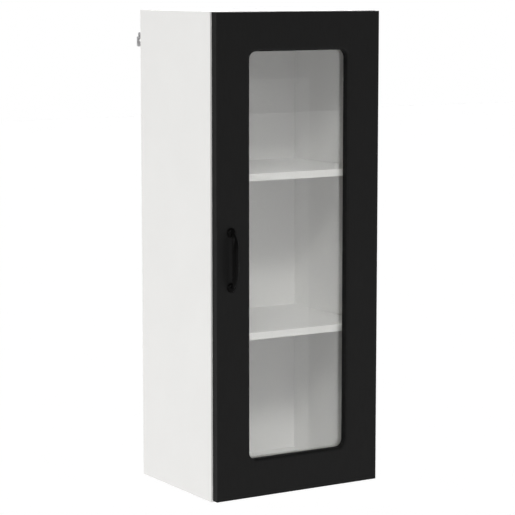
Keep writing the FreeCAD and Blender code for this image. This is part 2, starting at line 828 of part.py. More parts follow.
def cup_screw(height):
    """A wood screw through the cup's flange into the door."""
    start = door_back - dim("cup_screw_bite")
    head_start = door_back + dim("wing_thickness")
    return joined(
        rod("y", cup_screw_x, start, height, dim("cup_screw_radius"), head_start - start),
        rod("y", cup_screw_x, head_start, height, dim("cup_screw_head_radius"), dim("cup_screw_head")))


def plate_screw(height):
    """A wood screw through the mounting plate into the side board."""
    head_start = plate_x - dim("cup_screw_head")
    length = dim("plate_thickness") + dim("plate_screw_bite")
    return joined(
        rod("x", plate_x, plate_line_y, height, dim("cup_screw_radius"), length),
        rod("x", head_start, plate_line_y, height, dim("cup_screw_head_radius"), dim("cup_screw_head")))


def adjusting_screw(line, height):
    """A machine screw that ties the arm to its plate."""
    head_start = arm_x - dim("adjusting_screw_head")
    length = dim("arm_width") + dim("plate_thickness")
    return joined(
        rod("x", arm_x, line, height, dim("adjusting_screw_radius"), length),
        rod("x", head_start, line, height, dim("adjusting_screw_head_radius"),
            dim("adjusting_screw_head")))


# ---- door ----------------------------------------------------------------------------------------

def clip_places():
    """Centres of the glass clips and whether each stands on a vertical edge of the window."""
    places = [(clip_side_x * side, height, True) for height in clip_heights for side in (1, -1)]
    for height in (door_bottom + clip_line, door_top - clip_line):
        places += [(x, height, False) for x in clip_end_xs]
    return places


def clip_screw_offset(x, z, upright):
    """The screw sits on the door frame's side of the clip's middle."""
    shift = dim("glass_lap")
    if upright:
        return (x + shift if x.number > 0 else x - shift), z
    return x, (z + shift if z.number > door_middle.number else z - shift)


def door_frame():
    """One board with a round-cornered window, rebated behind for the glass and bored for the fittings."""
    x, y, z = -door_half_width, door_front, door_bottom
    thickness = dim("door_thickness")
    margin = dim("window_margin")
    lap = dim("glass_lap")
    body = new_body("door_frame", x, y, z)
    window = rounded_rectangle(margin, margin, door_width - margin, door_height - margin,
                               dim("window_corner"))
    rebate = rounded_rectangle(margin - lap, margin - lap, door_width - margin + lap,
                               door_height - margin + lap, dim("window_corner") + lap)
    pad(body, "XZ", 0, thickness, rectangle(0, 0, door_width, door_height), window)
    limit = margin.number / 2
    inner_right = door_width.number - limit
    round_edges(body, dim("window_round"), lambda limits: (
        limits.YMax < TINY_LENGTH and limits.XMin > limit and limits.XMax < inner_right
        and limits.ZMin > limit and limits.ZMax < door_height.number - limit))
    last_x = door_width.number - TINY_LENGTH
    last_y = thickness.number - TINY_LENGTH
    last_z = door_height.number - TINY_LENGTH
    round_edges(body, dim("door_edge_round"), lambda limits: (
        limits.YMax < TINY_LENGTH and (limits.XMin < TINY_LENGTH or limits.XMax > last_x)
        or limits.YMax < TINY_LENGTH and (limits.ZMin < TINY_LENGTH or limits.ZMax > last_z)
        or limits.YMin > last_y and limits.XMin > last_x))
    pocket(body, "XZ", thickness - dim("glass_rebate"), thickness, rebate)
    cups = [disc(cup_x - x, height - z, dim("cup_radius")) for height in hinge_heights.values()]
    pocket(body, "XZ", thickness - dim("cup_depth"), thickness, *cups)
    screws = [disc(cup_screw_x - x, height + shift - z, dim("cup_screw_radius"))
              for height in hinge_heights.values()
              for shift in (-dim("cup_screw_half_spacing"), dim("cup_screw_half_spacing"))]
    pocket(body, "XZ", thickness - dim("cup_screw_bite"), thickness, *screws)
    handle_bores = [disc(handle_x - x, height - z, dim("handle_screw_radius") + dim("handle_screw_play"))
                    for height in handle_heights]
    pocket(body, "XZ", 0, thickness, *handle_bores)
    clip_bores = []
    for place in clip_places():
        screw_x, screw_z = clip_screw_offset(*place)
        clip_bores.append(disc(screw_x - x, screw_z - z, dim("clip_screw_radius")))
    pocket(body, "XZ", thickness - dim("clip_screw_bite"), thickness, *clip_bores)
    return body


def glass_pane():
    """Clear pane in the shallow rebate behind the window, standing proud of the door's back."""
    inset = dim("window_margin") - dim("glass_lap") + dim("glass_play")
    x = -door_half_width + inset
    z = door_bottom + inset
    corner = dim("window_corner") + dim("glass_lap") - dim("glass_play")
    body = new_body("glass_pane", x, door_back - dim("glass_rebate"), z)
    pad(body, "XZ", 0, dim("glass_thickness"), rounded_rectangle(
        0, 0, door_width - inset * 2, door_height - inset * 2, corner))
    return body


def glass_clip(x, z, upright):
    """A small stepped plastic block that stands on the frame and laps over the pane's edge."""
    across_half = dim("clip_length") if upright else dim("clip_width") * 0.5
    along_half = dim("clip_width") * 0.5 if upright else dim("clip_length")
    outward_x, outward_z = clip_screw_offset(x, z, upright)
    middle_x = (x + outward_x) * 0.5
    middle_z = (z + outward_z) * 0.5
    half_x = across_half * 0.5 if upright else across_half
    half_z = along_half if upright else along_half * 0.5
    block = box(middle_x - half_x, door_back, middle_z - half_z,
                middle_x + half_x, clip_rear, middle_z + half_z)
    hole = rod("y", outward_x, door_back, outward_z, dim("clip_screw_radius"), clip_rear - door_back)
    lapped = dim("window_margin") - dim("glass_lap")
    pane_room = box(lapped - door_half_width, door_back, door_bottom + lapped,
                    door_half_width - lapped, glass_rear, door_top - lapped)
    return cut(block, hole, pane_room)


def clip_screw(x, z, upright):
    """A short screw through a clip into the frame."""
    screw_x, screw_z = clip_screw_offset(x, z, upright)
    start = door_back - dim("clip_screw_bite")
    return joined(
        rod("y", screw_x, start, screw_z, dim("clip_screw_radius"), clip_rear - start),
        rod("y", screw_x, clip_rear, screw_z, dim("clip_screw_head_radius"), dim("clip_screw_head")))


def grip_section(degrees):
    """An ellipse square to the bow at one angle of its arch; the arch is flat-topped and steep-ended."""
    angle = math.radians(degrees)
    rise = math.copysign(math.sqrt(abs(math.cos(angle))), math.cos(angle))
    swell = math.sin(angle) ** 4
    climb = -dim("handle_half_spacing").number * math.sin(angle) / (2 * math.sqrt(abs(math.cos(angle)) or 1))
    advance = dim("handle_reach").number * math.cos(angle)
    lean = math.degrees(math.atan2(advance, -climb)) if rise else 0
    end_width, end_depth = dim("handle_end_half_width"), dim("handle_end_half_depth")
    ring = doc.addObject("Part::Ellipse", "grip_section")
    ring.Placement = Placement(Vector(), Rotation(Vector(1, 0, 0), -lean))
    bind(ring, "MajorRadius", end_width + (dim("handle_grip_half_width") - end_width) * swell)
    bind(ring, "MinorRadius", end_depth + (dim("handle_grip_half_depth") - end_depth) * swell)
    bind_base(ring, handle_x, door_front - dim("handle_reach") * math.sin(angle),
              door_middle + dim("handle_half_spacing") * rise)
    return ring


def handle_grip():
    """The bow between the feet, lofted along its arch."""
    grip = doc.addObject("Part::Loft", "grip")
    grip.Sections = [grip_section(degrees) for degrees in GRIP_ANGLES]
    grip.Solid = True
    return grip


def handle():
    """Bow handle: two domed feet and an arched grip that is widest at its middle."""
    radius = dim("handle_dome_radius")
    foot_front = door_front - dim("handle_foot")
    solids = []
    bores = []
    for height in handle_heights:
        solids.append(rod("y", handle_x, foot_front, height, dim("handle_foot_radius"),
                          dim("handle_foot")))
        dome = doc.addObject("Part::Sphere", "dome")
        bind(dome, "Radius", radius)
        bind_base(dome, handle_x, foot_front + dim("handle_dome_sink"), height)
        sunk_part = box(handle_x - radius, foot_front, height - radius,
                        handle_x + radius, foot_front + radius * 2, height + radius)
        solids.append(cut(dome, sunk_part))
        bores.append(rod("y", handle_x, door_front - dim("handle_thread"), height,
                         dim("handle_screw_radius"), dim("handle_thread")))
    return cut(joined(*solids, handle_grip()), *bores, label="handle")


def handle_screw(height):
    """A machine screw from behind the door into a handle foot."""
    length = dim("door_thickness") + dim("handle_thread")
    return joined(
        rod("y", handle_x, door_front - dim("handle_thread"), height, dim("handle_screw_radius"), length),
        rod("y", handle_x, door_back, height, dim("handle_screw_head_radius"), dim("handle_screw_head")))


def door_bumpers():
    """Soft buttons between the door and the side board's edge."""
    x = -door_half_width + dim("bumper_inset")
    heights = (door_bottom + dim("bumper_height_inset"), door_top - dim("bumper_height_inset"))
    return group("door_bumpers", [
        rod("y", x, door_back, height, dim("bumper_radius"), dim("bumper_thickness"))
        for height in heights])


# ---- the whole cabinet ----------------------------------------------------------------------------

nodes = {}


def keep(label, piece):
    """Record a sub-part under its own label."""
    piece.Label = label
    nodes[label] = piece
    return piece


def keep_pair(stem, right_piece):
    """A right piece and its mirrored left twin."""
    keep(stem + "_right", right_piece)
    keep(stem + "_left", mirrored(stem + "_left", right_piece))


def build_carcass():
    """Boards, back, shelves and the fittings that hold them together."""
    keep_pair("side_panel", side_panel())
    keep("top_panel", end_panel("top_panel", top - dim("board"), True))
    keep("bottom_panel", end_panel("bottom_panel", bottom, False))
    keep("back_panel", back_panel())
    keep("edge_bands", edge_bands())
    keep("back_panel_nails", back_panel_nails())
    keep("dowels", dowels())
    corners = [(line, name, side) for line in joint_fronts for name in board_middles
               for side in (1, -1)]
    keep("cam_bolts", group("cam_bolts", [cam_bolt((line, board_middles[name]), side)
                                          for line, name, side in corners]))
    keep("cam_locks", group("cam_locks", [cam_lock(*corner) for corner in corners]))
    keep("cam_caps", group("cam_caps", [cam_cap(*corner) for corner in corners]))
    for name, underside in shelf_undersides.items():
        keep("shelf_" + name, shelf("shelf_" + name, underside))
        pins = [shelf_pin(line, underside, side) for line in joint_fronts for side in (1, -1)]
        keep("shelf_pins_" + name, group("shelf_pins_" + name, pins))


def build_hangers():
    """Both hangers with their covers, screws, hooks and wall plates."""
    keep_pair("hanger_housing", hanger_housing())
    keep_pair("hanger_cap", hanger_cap())
    keep_pair("hanger_depth_screw", hanger_screw(
        "depth_screw", dim("depth_screw_height"), dim("depth_screw_length")))
    keep_pair("hanger_height_screw", hanger_screw(
        "height_screw", dim("height_screw_height"), dim("height_screw_length")))
    keep_pair("hanger_hook", hanger_hook())
    keep_pair("wall_plate", wall_plate())
    right_fixings = [fixing(*place) for place in fixing_places]
    left_fixings = [mirrored("fixing_left", piece) for piece in right_fixings]
    keep("hanger_fixings", group("hanger_fixings", right_fixings + left_fixings))


def build_hinges():
    """The three cup hinges with all their screws."""
    for name, height in hinge_heights.items():
        keep("hinge_cup_" + name, hinge_cup("hinge_cup_" + name, height))
        keep("hinge_arm_" + name, hinge_arm("hinge_arm_" + name, height))
        keep("hinge_plate_" + name, hinge_plate("hinge_plate_" + name, height))
    keep("hinge_pins", hinge_pins())
    heights = list(hinge_heights.values())
    keep("hinge_cup_screws", group("hinge_cup_screws", [
        cup_screw(height + dim("cup_screw_half_spacing") * side) for height in heights
        for side in (1, -1)]))
    keep("hinge_plate_screws", group("hinge_plate_screws", [
        plate_screw(height + dim("plate_screw_half_spacing") * side) for height in heights
        for side in (1, -1)]))
    keep("hinge_adjusting_screws", group("hinge_adjusting_screws", [
        adjusting_screw(line, height) for height in heights for line in adjusting_lines]))


def build_door():
    """The door with its glass, handle and bumpers."""
    keep("door_frame", door_frame())
    keep("glass_pane", glass_pane())
    keep("glass_clips", group("glass_clips", [glass_clip(*place) for place in clip_places()]))
    keep("glass_clip_screws", group("glass_clip_screws", [clip_screw(*place) for place in clip_places()]))
    keep("handle", handle())
    keep("handle_screws", group("handle_screws", [handle_screw(height) for height in handle_heights]))
    keep("door_bumpers", door_bumpers())


def check_document():
    """Stop if any object failed, if a sub-part has no valid shape or if a pocket cut nothing."""
    for item in doc.Objects:
        if "Invalid" in item.State or "Error" in item.State:
            raise RuntimeError(f"{item.Name} failed: {item.State}")
        if item.TypeId == "PartDesign::Pocket":
            removed = item.BaseFeature.Shape.Volume - item.Shape.Volume
            if removed < TINY_VOLUME:
                raise RuntimeError(f"{item.Name} cut nothing")
    for label, piece in nodes.items():
        if piece.Shape.isNull() or not piece.Shape.isValid():
            raise RuntimeError(f"{label} has no valid shape")


build_carcass()
build_hangers()
build_hinges()
build_door()
doc.recompute()
check_document()
os.makedirs("parts", exist_ok=True)
for label, piece in nodes.items():
    piece.Shape.exportStep(f"parts/{label}.step")
print(len(nodes), "sub-parts written")
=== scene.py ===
"""Looks of the hanging wall cabinet: materials, fittings with their fine detail, studio and camera.

Metres, in the row frame: +X to the hinge side, +Y into the wall, +Z up, wall screws on z = 0.
"""
import json
import math

import bmesh
import bpy
from mathutils import Matrix, Vector


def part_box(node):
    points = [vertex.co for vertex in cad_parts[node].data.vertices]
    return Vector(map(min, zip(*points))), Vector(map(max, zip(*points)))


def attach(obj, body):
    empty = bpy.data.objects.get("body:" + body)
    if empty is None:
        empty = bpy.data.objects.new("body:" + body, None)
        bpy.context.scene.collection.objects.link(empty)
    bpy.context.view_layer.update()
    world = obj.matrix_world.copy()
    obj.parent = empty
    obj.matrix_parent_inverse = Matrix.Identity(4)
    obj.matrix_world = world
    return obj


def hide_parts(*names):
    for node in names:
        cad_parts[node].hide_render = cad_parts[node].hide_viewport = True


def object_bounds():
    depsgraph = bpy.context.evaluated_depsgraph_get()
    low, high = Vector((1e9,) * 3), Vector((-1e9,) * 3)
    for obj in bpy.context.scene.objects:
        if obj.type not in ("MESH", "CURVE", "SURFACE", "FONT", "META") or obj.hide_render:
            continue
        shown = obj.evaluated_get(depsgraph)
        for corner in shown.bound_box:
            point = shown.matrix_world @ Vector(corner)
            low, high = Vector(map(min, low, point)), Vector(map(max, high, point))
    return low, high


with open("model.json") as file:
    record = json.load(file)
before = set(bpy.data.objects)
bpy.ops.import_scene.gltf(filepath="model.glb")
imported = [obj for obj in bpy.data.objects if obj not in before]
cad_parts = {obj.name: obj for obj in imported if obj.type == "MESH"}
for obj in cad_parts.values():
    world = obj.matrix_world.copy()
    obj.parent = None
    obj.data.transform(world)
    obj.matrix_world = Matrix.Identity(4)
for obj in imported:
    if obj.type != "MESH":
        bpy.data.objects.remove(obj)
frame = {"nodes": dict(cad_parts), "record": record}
cad_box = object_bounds()

MM = 0.001
SEGMENTS = 40
SMOOTH_ANGLE = math.radians(32)
WELD = 0.001 * MM
SEAM = 0.0001 * MM
HINGE_REACH = 40 * MM
BORE_DEPTH = 4 * MM
DIRECTIONS = {"+x": Vector((1, 0, 0)), "-x": Vector((-1, 0, 0)), "+y": Vector((0, 1, 0)),
              "-y": Vector((0, -1, 0)), "+z": Vector((0, 0, 1)), "-z": Vector((0, 0, -1))}


# ---- materials -----------------------------------------------------------------------------------

class Surface:
    """A Principled material whose colour, roughness and relief come from procedural nodes."""

    def __init__(self, name, **constants):
        self.material = bpy.data.materials.new(name)
        self.material.use_nodes = True
        self.tree = self.material.node_tree
        self.shader = self.tree.nodes["Principled BSDF"]
        self.coordinates = self.add("ShaderNodeTexCoord").outputs["Object"]
        self.height = None
        for socket, value in constants.items():
            self.shader.inputs[socket.replace("_", " ")].default_value = value

    def add(self, kind, **settings):
        node = self.tree.nodes.new(kind)
        for name, value in settings.items():
            setattr(node, name, value)
        return node

    def link(self, source, target):
        self.tree.links.new(source, target)

    def stretched(self, scale):
        """Object coordinates scaled by a vector."""
        mapping = self.add("ShaderNodeMapping")
        mapping.inputs["Scale"].default_value = scale
        self.link(self.coordinates, mapping.inputs["Vector"])
        return mapping.outputs["Vector"]

    def noise(self, scale, detail=2.0, roughness=0.5, vector=None):
        """Noise of a given scale, in cycles per metre."""
        node = self.add("ShaderNodeTexNoise")
        node.inputs["Scale"].default_value = scale
        node.inputs["Detail"].default_value = detail
        node.inputs["Roughness"].default_value = roughness
        self.link(vector or self.coordinates, node.inputs["Vector"])
        return node.outputs["Fac"]

    def spread(self, source, low, high, start=0.3, end=0.7):
        """A value mapped from one range to another."""
        node = self.add("ShaderNodeMapRange")
        for name, value in zip(("From Min", "From Max", "To Min", "To Max"), (start, end, low, high)):
            node.inputs[name].default_value = value
        self.link(source, node.inputs["Value"])
        return node.outputs["Result"]

    def colour(self, source, first, second):
        """The base colour, mixed between two by a value."""
        mix = self.add("ShaderNodeMix", data_type="RGBA")
        mix.inputs["A"].default_value = (*first, 1)
        mix.inputs["B"].default_value = (*second, 1)
        self.link(source, mix.inputs["Factor"])
        self.link(mix.outputs["Result"], self.shader.inputs["Base Color"])

    def roughness(self, source, low, high):
        self.link(self.spread(source, low, high), self.shader.inputs["Roughness"])

    def relief(self, source, depth, strength=1.0):
        """One more layer of bump, its depth in metres."""
        bump = self.add("ShaderNodeBump")
        bump.inputs["Distance"].default_value = depth
        bump.inputs["Strength"].default_value = strength
        self.link(source, bump.inputs["Height"])
        if self.height:
            self.link(self.height, bump.inputs["Normal"])
        self.height = bump.outputs["Normal"]
        self.link(self.height, self.shader.inputs["Normal"])


def melamine(name, light, dark, shine):
    """White melamine: a faint cloud in the colour and a fine orange-peel skin."""
    surface = Surface(name, Specular_IOR_Level=0.3)
    surface.colour(surface.spread(surface.noise(9, 3), 0, 1), light, dark)
    surface.roughness(surface.noise(60, 3), shine - 0.05, shine + 0.05)
    surface.relief(surface.noise(1400, 3, 0.6), 0.00003, 0.35)
    surface.relief(surface.noise(160, 2), 0.00006, 0.15)
    return surface.material


def hardboard(name):
    """Painted thin fibreboard: slightly mottled, with a soft felt-like grain."""
    surface = Surface(name, Specular_IOR_Level=0.25)
    surface.colour(surface.spread(surface.noise(40, 4), 0, 1), (0.79, 0.785, 0.775), (0.772, 0.767, 0.757))
    surface.roughness(surface.noise(200, 3), 0.55, 0.68)
    surface.relief(surface.noise(900, 4, 0.65), 0.00006, 0.5)
    return surface.material


def black_foil(name):
    """Matt black foil on board: long faint pores and a soft uneven sheen."""
    surface = Surface(name, Specular_IOR_Level=0.12)
    fibres = surface.noise(500, 4, 0.6, surface.stretched((1, 1, 0.05)))
    surface.colour(surface.spread(fibres, 0, 1), (0.0062, 0.0061, 0.0061), (0.0088, 0.0087, 0.0086))
    surface.roughness(surface.noise(35, 3), 0.53, 0.57)
    surface.relief(fibres, 0.00004, 0.25)
    surface.relief(surface.noise(1800, 3), 0.00002, 0.3)
    return surface.material


def cast_black(name):
    """Black lacquer over cast metal: small pits, and a painted highlight that colours the sharper edges a
    little lighter.
    """
    surface = Surface(name, Specular_IOR_Level=0.05)
    edges = surface.add("ShaderNodeNewGeometry").outputs["Pointiness"]
    # Painted highlight: the base colour is lightened along convex edges, picked out by pointiness, in place
    # of their shine.
    edge_highlight = surface.spread(edges, 0, 1, 0.5, 0.62)
    surface.colour(edge_highlight, (0.0014, 0.0013, 0.0013), (0.006, 0.0056, 0.0052))
    surface.roughness(surface.noise(300, 3), 0.24, 0.34)
    surface.relief(surface.noise(420, 4, 0.6), 0.00008, 0.4)
    return surface.material


def plated(name, light, dark, rough, grain):
    """Plated steel: brushed along one axis, with fine clouding of the plate."""
    surface = Surface(name, Metallic=1.0)
    surface.colour(surface.spread(surface.noise(130, 4), 0, 1), light, dark)
    brushing = surface.noise(grain, 3, 0.6, surface.stretched((1, 0.08, 1)))
    surface.roughness(brushing, rough - 0.04, rough + 0.06)
    surface.relief(brushing, 0.00001, 0.2)
    return surface.material


def die_cast(name):
    """Grey zinc casting: grainy and dull."""
    surface = Surface(name, Metallic=1.0)
    surface.colour(surface.spread(surface.noise(700, 4), 0, 1), (0.46, 0.46, 0.47), (0.36, 0.36, 0.37))
    surface.roughness(surface.noise(500, 3), 0.48, 0.62)
    surface.relief(surface.noise(900, 4, 0.7), 0.00008, 0.6)
    return surface.material


def moulded(name, light, dark, rough):
    """Moulded plastic: even colour, with the mould's fine spark-eroded grain."""
    surface = Surface(name, Specular_IOR_Level=0.4)
    surface.colour(surface.spread(surface.noise(30, 2), 0, 1), light, dark)
    surface.roughness(surface.noise(120, 2), rough - 0.04, rough + 0.04)
    surface.relief(surface.noise(2600, 2, 0.5), 0.00003, 0.45)
    return surface.material


def beech(name):
    """Beech dowel wood: long fibres with short dark flecks."""
    surface = Surface(name, Specular_IOR_Level=0.3)
    fibres = surface.noise(900, 5, 0.65, surface.stretched((0.06, 1, 1)))
    surface.colour(surface.spread(fibres, 0, 1), (0.62, 0.43, 0.26), (0.47, 0.30, 0.17))
    surface.roughness(fibres, 0.55, 0.7)
    surface.relief(fibres, 0.0001, 0.5)
    return surface.material


def clear_glass(name):
    """Float glass: faintly tinted, with a barely wavy surface; lamps shine through it."""
    surface = Surface(name, Transmission_Weight=1.0, IOR=1.5)
    cloud = surface.spread(surface.noise(3, 2), 0, 1)
    surface.colour(cloud, (0.785, 0.785, 0.775), (0.776, 0.777, 0.768))
    surface.roughness(surface.noise(8, 2), 0.0, 0.004)
    surface.relief(surface.noise(7, 1), 0.00002, 0.1)
    passing = surface.add("ShaderNodeBsdfTransparent")
    passing.inputs["Color"].default_value = (0.94, 0.945, 0.935, 1)
    mix = surface.add("ShaderNodeMixShader")
    surface.link(surface.add("ShaderNodeLightPath").outputs["Is Shadow Ray"], mix.inputs["Fac"])
    surface.link(surface.shader.outputs["BSDF"], mix.inputs[1])
    surface.link(passing.outputs["BSDF"], mix.inputs[2])
    surface.link(mix.outputs["Shader"], surface.tree.nodes["Material Output"].inputs["Surface"])
    return surface.material


def frosted_clear(name):
    """Milky clear plastic of the glass clips."""
    surface = Surface(name, Transmission_Weight=0.35, IOR=1.46, Specular_IOR_Level=0.5)
    surface.colour(surface.spread(surface.noise(200, 3), 0, 1), (0.86, 0.86, 0.85), (0.80, 0.80, 0.79))
    surface.roughness(surface.noise(300, 2), 0.28, 0.4)
    surface.relief(surface.noise(1500, 2), 0.00003, 0.4)
    return surface.material


MELAMINE_LIGHT = (0.795, 0.790, 0.775)
MELAMINE_DARK = (0.780, 0.775, 0.760)
FINISHES = {
    "white_melamine": melamine("white_melamine_finish", MELAMINE_LIGHT, MELAMINE_DARK, 0.42),
    "white_hdf": hardboard("white_hdf_finish"),
    "white_edge_band": melamine("edge_band_finish", MELAMINE_LIGHT, MELAMINE_DARK, 0.36),
    "black_foil_board": black_foil("black_foil_finish"),
    "clear_glass": clear_glass("clear_glass_finish"),
    "black_handle": cast_black("black_handle_finish"),
    "beech": beech("beech_finish"),
    "zinc_plated_steel": plated("zinc_plate_finish", (0.76, 0.76, 0.77), (0.66, 0.66, 0.68), 0.38, 700),
    "nickel_plated_steel": plated("nickel_finish", (0.72, 0.71, 0.69), (0.67, 0.66, 0.64), 0.26, 900),
    "cast_zinc": die_cast("cast_zinc_finish"),
    "white_plastic": moulded("white_plastic_finish", (0.80, 0.80, 0.79), (0.76, 0.76, 0.75), 0.4),
    "clear_plastic": frosted_clear("clip_plastic_finish"),
    "soft_buffer": moulded("buffer_finish", (0.70, 0.70, 0.69), (0.62, 0.62, 0.61), 0.62),
}
SLOTS = {entry["node"]: entry["material_slot"] for entry in frame["record"]["subparts"]}


def finish_cad_nodes():
    """Every CAD node takes its slot's procedural finish."""
    for node, piece in frame["nodes"].items():
        if not piece.material_slots:
            piece.data.materials.append(FINISHES[SLOTS[node]])
        for slot in piece.material_slots:
            slot.material = FINISHES[SLOTS[node]]


# ---- mesh tools ----------------------------------------------------------------------------------

BODY_OF = {node: body for body, nodes in frame["record"]["behaviour"]["bodies"].items()
           for node in nodes}


def solids_of(node):
    """Lowest and highest corner of each separate solid of a node, from its mesh."""
    mesh = bmesh.new()
    mesh.from_mesh(frame["nodes"][node].data)
    bmesh.ops.remove_doubles(mesh, verts=mesh.verts, dist=WELD)
    unseen = set(mesh.verts)
    boxes = []
    while unseen:
        stack = [unseen.pop()]
        corners = []
        while stack:
            vertex = stack.pop()
            corners.append(vertex.co.copy())
            for edge in vertex.link_edges:
                other = edge.other_vert(vertex)
                if other in unseen:
                    unseen.remove(other)
                    stack.append(other)
        low = Vector(min(corner[axis] for corner in corners) for axis in range(3))
        high = Vector(max(corner[axis] for corner in corners) for axis in range(3))
        boxes.append((low, high))
    mesh.free()
    return sorted(boxes, key=lambda box: [round(value, 5) for value in box[0]])


def middle_of(solid):
    """The middle of a solid's box."""
    return (solid[0] + solid[1]) / 2


def at_hinge(node, height):
    """The solids of a node that belong to the hinge at one height."""
    return [solid for solid in solids_of(node) if abs(middle_of(solid).z - height) < HINGE_REACH]


def show(mesh, name, node):
    """Turn a bmesh into the visible piece that stands for a CAD node."""
    bmesh.ops.recalc_face_normals(mesh, faces=mesh.faces)
    for face in mesh.faces:
        face.smooth = True
    for edge in mesh.edges:
        edge.smooth = len(edge.link_faces) == 2 and edge.calc_face_angle() < SMOOTH_ANGLE
    data = bpy.data.meshes.new(name)
    mesh.to_mesh(data)
    mesh.free()
    piece = bpy.data.objects.new(name, data)
    bpy.context.collection.objects.link(piece)
    piece.modifiers.new("flat_faces", "WEIGHTED_NORMAL").keep_sharp = True
    slot = SLOTS[node]
    data.materials.append(FINISHES[slot])
    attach(piece, BODY_OF[node])
    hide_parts(node)


def merge(target, source, matrix=None):
    """Copy one bmesh into another, through a matrix."""
    data = bpy.data.meshes.new("merge")
    source.to_mesh(data)
    if matrix:
        data.transform(matrix)
    target.from_mesh(data)
    bpy.data.meshes.remove(data)


def lathe(profile, segments=SEGMENTS):
    """A solid of revolution about z; the profile is (radius, height) pairs that start and end at 0."""
    mesh = bmesh.new()
    rings = []
    for radius, height in profile:
        if radius <= 0:
            rings.append([mesh.verts.new((0, 0, height))])
            continue
        angles = [2 * math.pi * step / segments for step in range(segments)]
        rings.append([mesh.verts.new((radius * math.cos(a), radius * math.sin(a), height))
                      for a in angles])
    for lower, upper in zip(rings, rings[1:]):
        for step in range(segments):
            following = (step + 1) % segments
            corners = [lower[step % len(lower)], lower[following % len(lower)],
                       upper[following % len(upper)], upper[step % len(upper)]]
            unique = list(dict.fromkeys(corners))
            if len(unique) > 2:
                mesh.faces.new(unique)
    bmesh.ops.recalc_face_normals(mesh, faces=mesh.faces)
    return mesh


def peg(radius, start, end, segments=24):
    """A plain round peg along z, for eyes and as a tool for bores."""
    return lathe([(0, start), (radius, start), (radius, end), (0, end)], segments)


def prism(outline, start, end, axis="z"):
    """An outline of (u, v) points pushed from one place to another along an axis."""
    mesh = bmesh.new()
    place = {"x": lambda u, v, w: (w, u, v), "y": lambda u, v, w: (u, w, v),
             "z": lambda u, v, w: (u, v, w)}[axis]
    low = [mesh.verts.new(place(u, v, start)) for u, v in outline]
    high = [mesh.verts.new(place(u, v, end)) for u, v in outline]
    mesh.faces.new(low)
    mesh.faces.new(high)
    for index in range(len(outline)):
        following = (index + 1) % len(outline)
        mesh.faces.new((low[index], low[following], high[following], high[index]))
    bmesh.ops.recalc_face_normals(mesh, faces=mesh.faces)
    return mesh


def rectangle(low_u, low_v, high_u, high_v):
    """The corners of a rectangle, in order round it."""
    return [(low_u, low_v), (high_u, low_v), (high_u, high_v), (low_u, high_v)]


def block(low, high):
    """A plain block, as a start for bevels and cuts."""
    return prism(rectangle(low[0], low[1], high[0], high[1]), low[2], high[2])


def rounded(outline, radius, steps=6):
    """An outline with every corner turned into an arc of a radius, or of each corner's own."""
    count = len(outline)
    radii = radius if isinstance(radius, tuple) else (radius,) * count
    result = []
    for index in range(count):
        corner = Vector(outline[index])
        before = (Vector(outline[index - 1]) - corner).normalized()
        after = (Vector(outline[(index + 1) % count]) - corner).normalized()
        half = before.angle(after) / 2
        if radii[index] <= 0:
            result.append(tuple(corner))
            continue
        reach = radii[index] / math.tan(half)
        centre = corner + (before + after).normalized() * (radii[index] / math.sin(half))
        start = corner + before * reach - centre
        end = corner + after * reach - centre
        turn = math.atan2(start.x * end.y - start.y * end.x, start.dot(end))
        for step in range(steps + 1):
            angle = turn * step / steps
            spun = Vector((start.x * math.cos(angle) - start.y * math.sin(angle),
                           start.x * math.sin(angle) + start.y * math.cos(angle)))
            result.append(tuple(centre + spun))
    return result


def soften(mesh, width, steps=2, sharper_than=30):
    """Bevel every edge that turns by more than an angle."""
    edges = [edge for edge in mesh.edges
             if len(edge.link_faces) == 2 and edge.calc_face_angle() > math.radians(sharper_than)]
    bmesh.ops.bevel(mesh, geom=edges, offset=width, segments=steps, profile=0.5, affect="EDGES",
                    clamp_overlap=True)
    return mesh


def eased(node, name, width):
    """A moulded or cut piece with the node's own shape, whose sharp edges are eased."""
    mesh = bmesh.new()
    mesh.from_mesh(frame["nodes"][node].data)
    bmesh.ops.remove_doubles(mesh, verts=mesh.verts, dist=WELD)
    bmesh.ops.dissolve_limit(mesh, angle_limit=math.radians(1), verts=mesh.verts, edges=mesh.edges)
    show(soften(mesh, width, 1, 45), name, node)


def combined(base, tools, operation):
    """The exact boolean of one bmesh with others."""
    scratch = []
    for mesh in [base, *tools]:
        data = bpy.data.meshes.new("boolean")
        mesh.to_mesh(data)
        mesh.free()
        holder = bpy.data.objects.new("boolean", data)
        bpy.context.collection.objects.link(holder)
        scratch.append(holder)
    for tool in scratch[1:]:
        modifier = scratch[0].modifiers.new("boolean", "BOOLEAN")
        modifier.operation = operation
        modifier.solver = "EXACT"
        modifier.object = tool
    graph = bpy.context.evaluated_depsgraph_get()
    result = bmesh.new()
    evaluated = scratch[0].evaluated_get(graph)
    result.from_mesh(evaluated.to_mesh())
    evaluated.to_mesh_clear()
    for holder in scratch:
        data = holder.data
        bpy.data.objects.remove(holder)
        bpy.data.meshes.remove(data)
    bmesh.ops.remove_doubles(result, verts=result.verts, dist=SEAM)
    return result


def cut_from(base, *tools):
    return combined(base, tools, "DIFFERENCE")


def fused(base, *tools):
    return combined(base, tools, "UNION")


def aimed(direction, place):
    """The matrix that turns +z to a direction and moves the origin to a place."""
    turn = DIRECTIONS[direction].to_track_quat("Z", "Y").to_matrix().to_4x4()
    return Matrix.Translation(place) @ turn


def turned(mesh, direction, place):
    """A bmesh built along z, aimed along a direction at a place."""
    mesh.transform(aimed(direction, place))
    return mesh


# ---- fasteners -----------------------------------------------------------------------------------

THREAD_PITCH = 1.4 * MM
THREAD_ROOT = 0.8
THREAD_STEPS = (0.35, 0.6, 0.85)
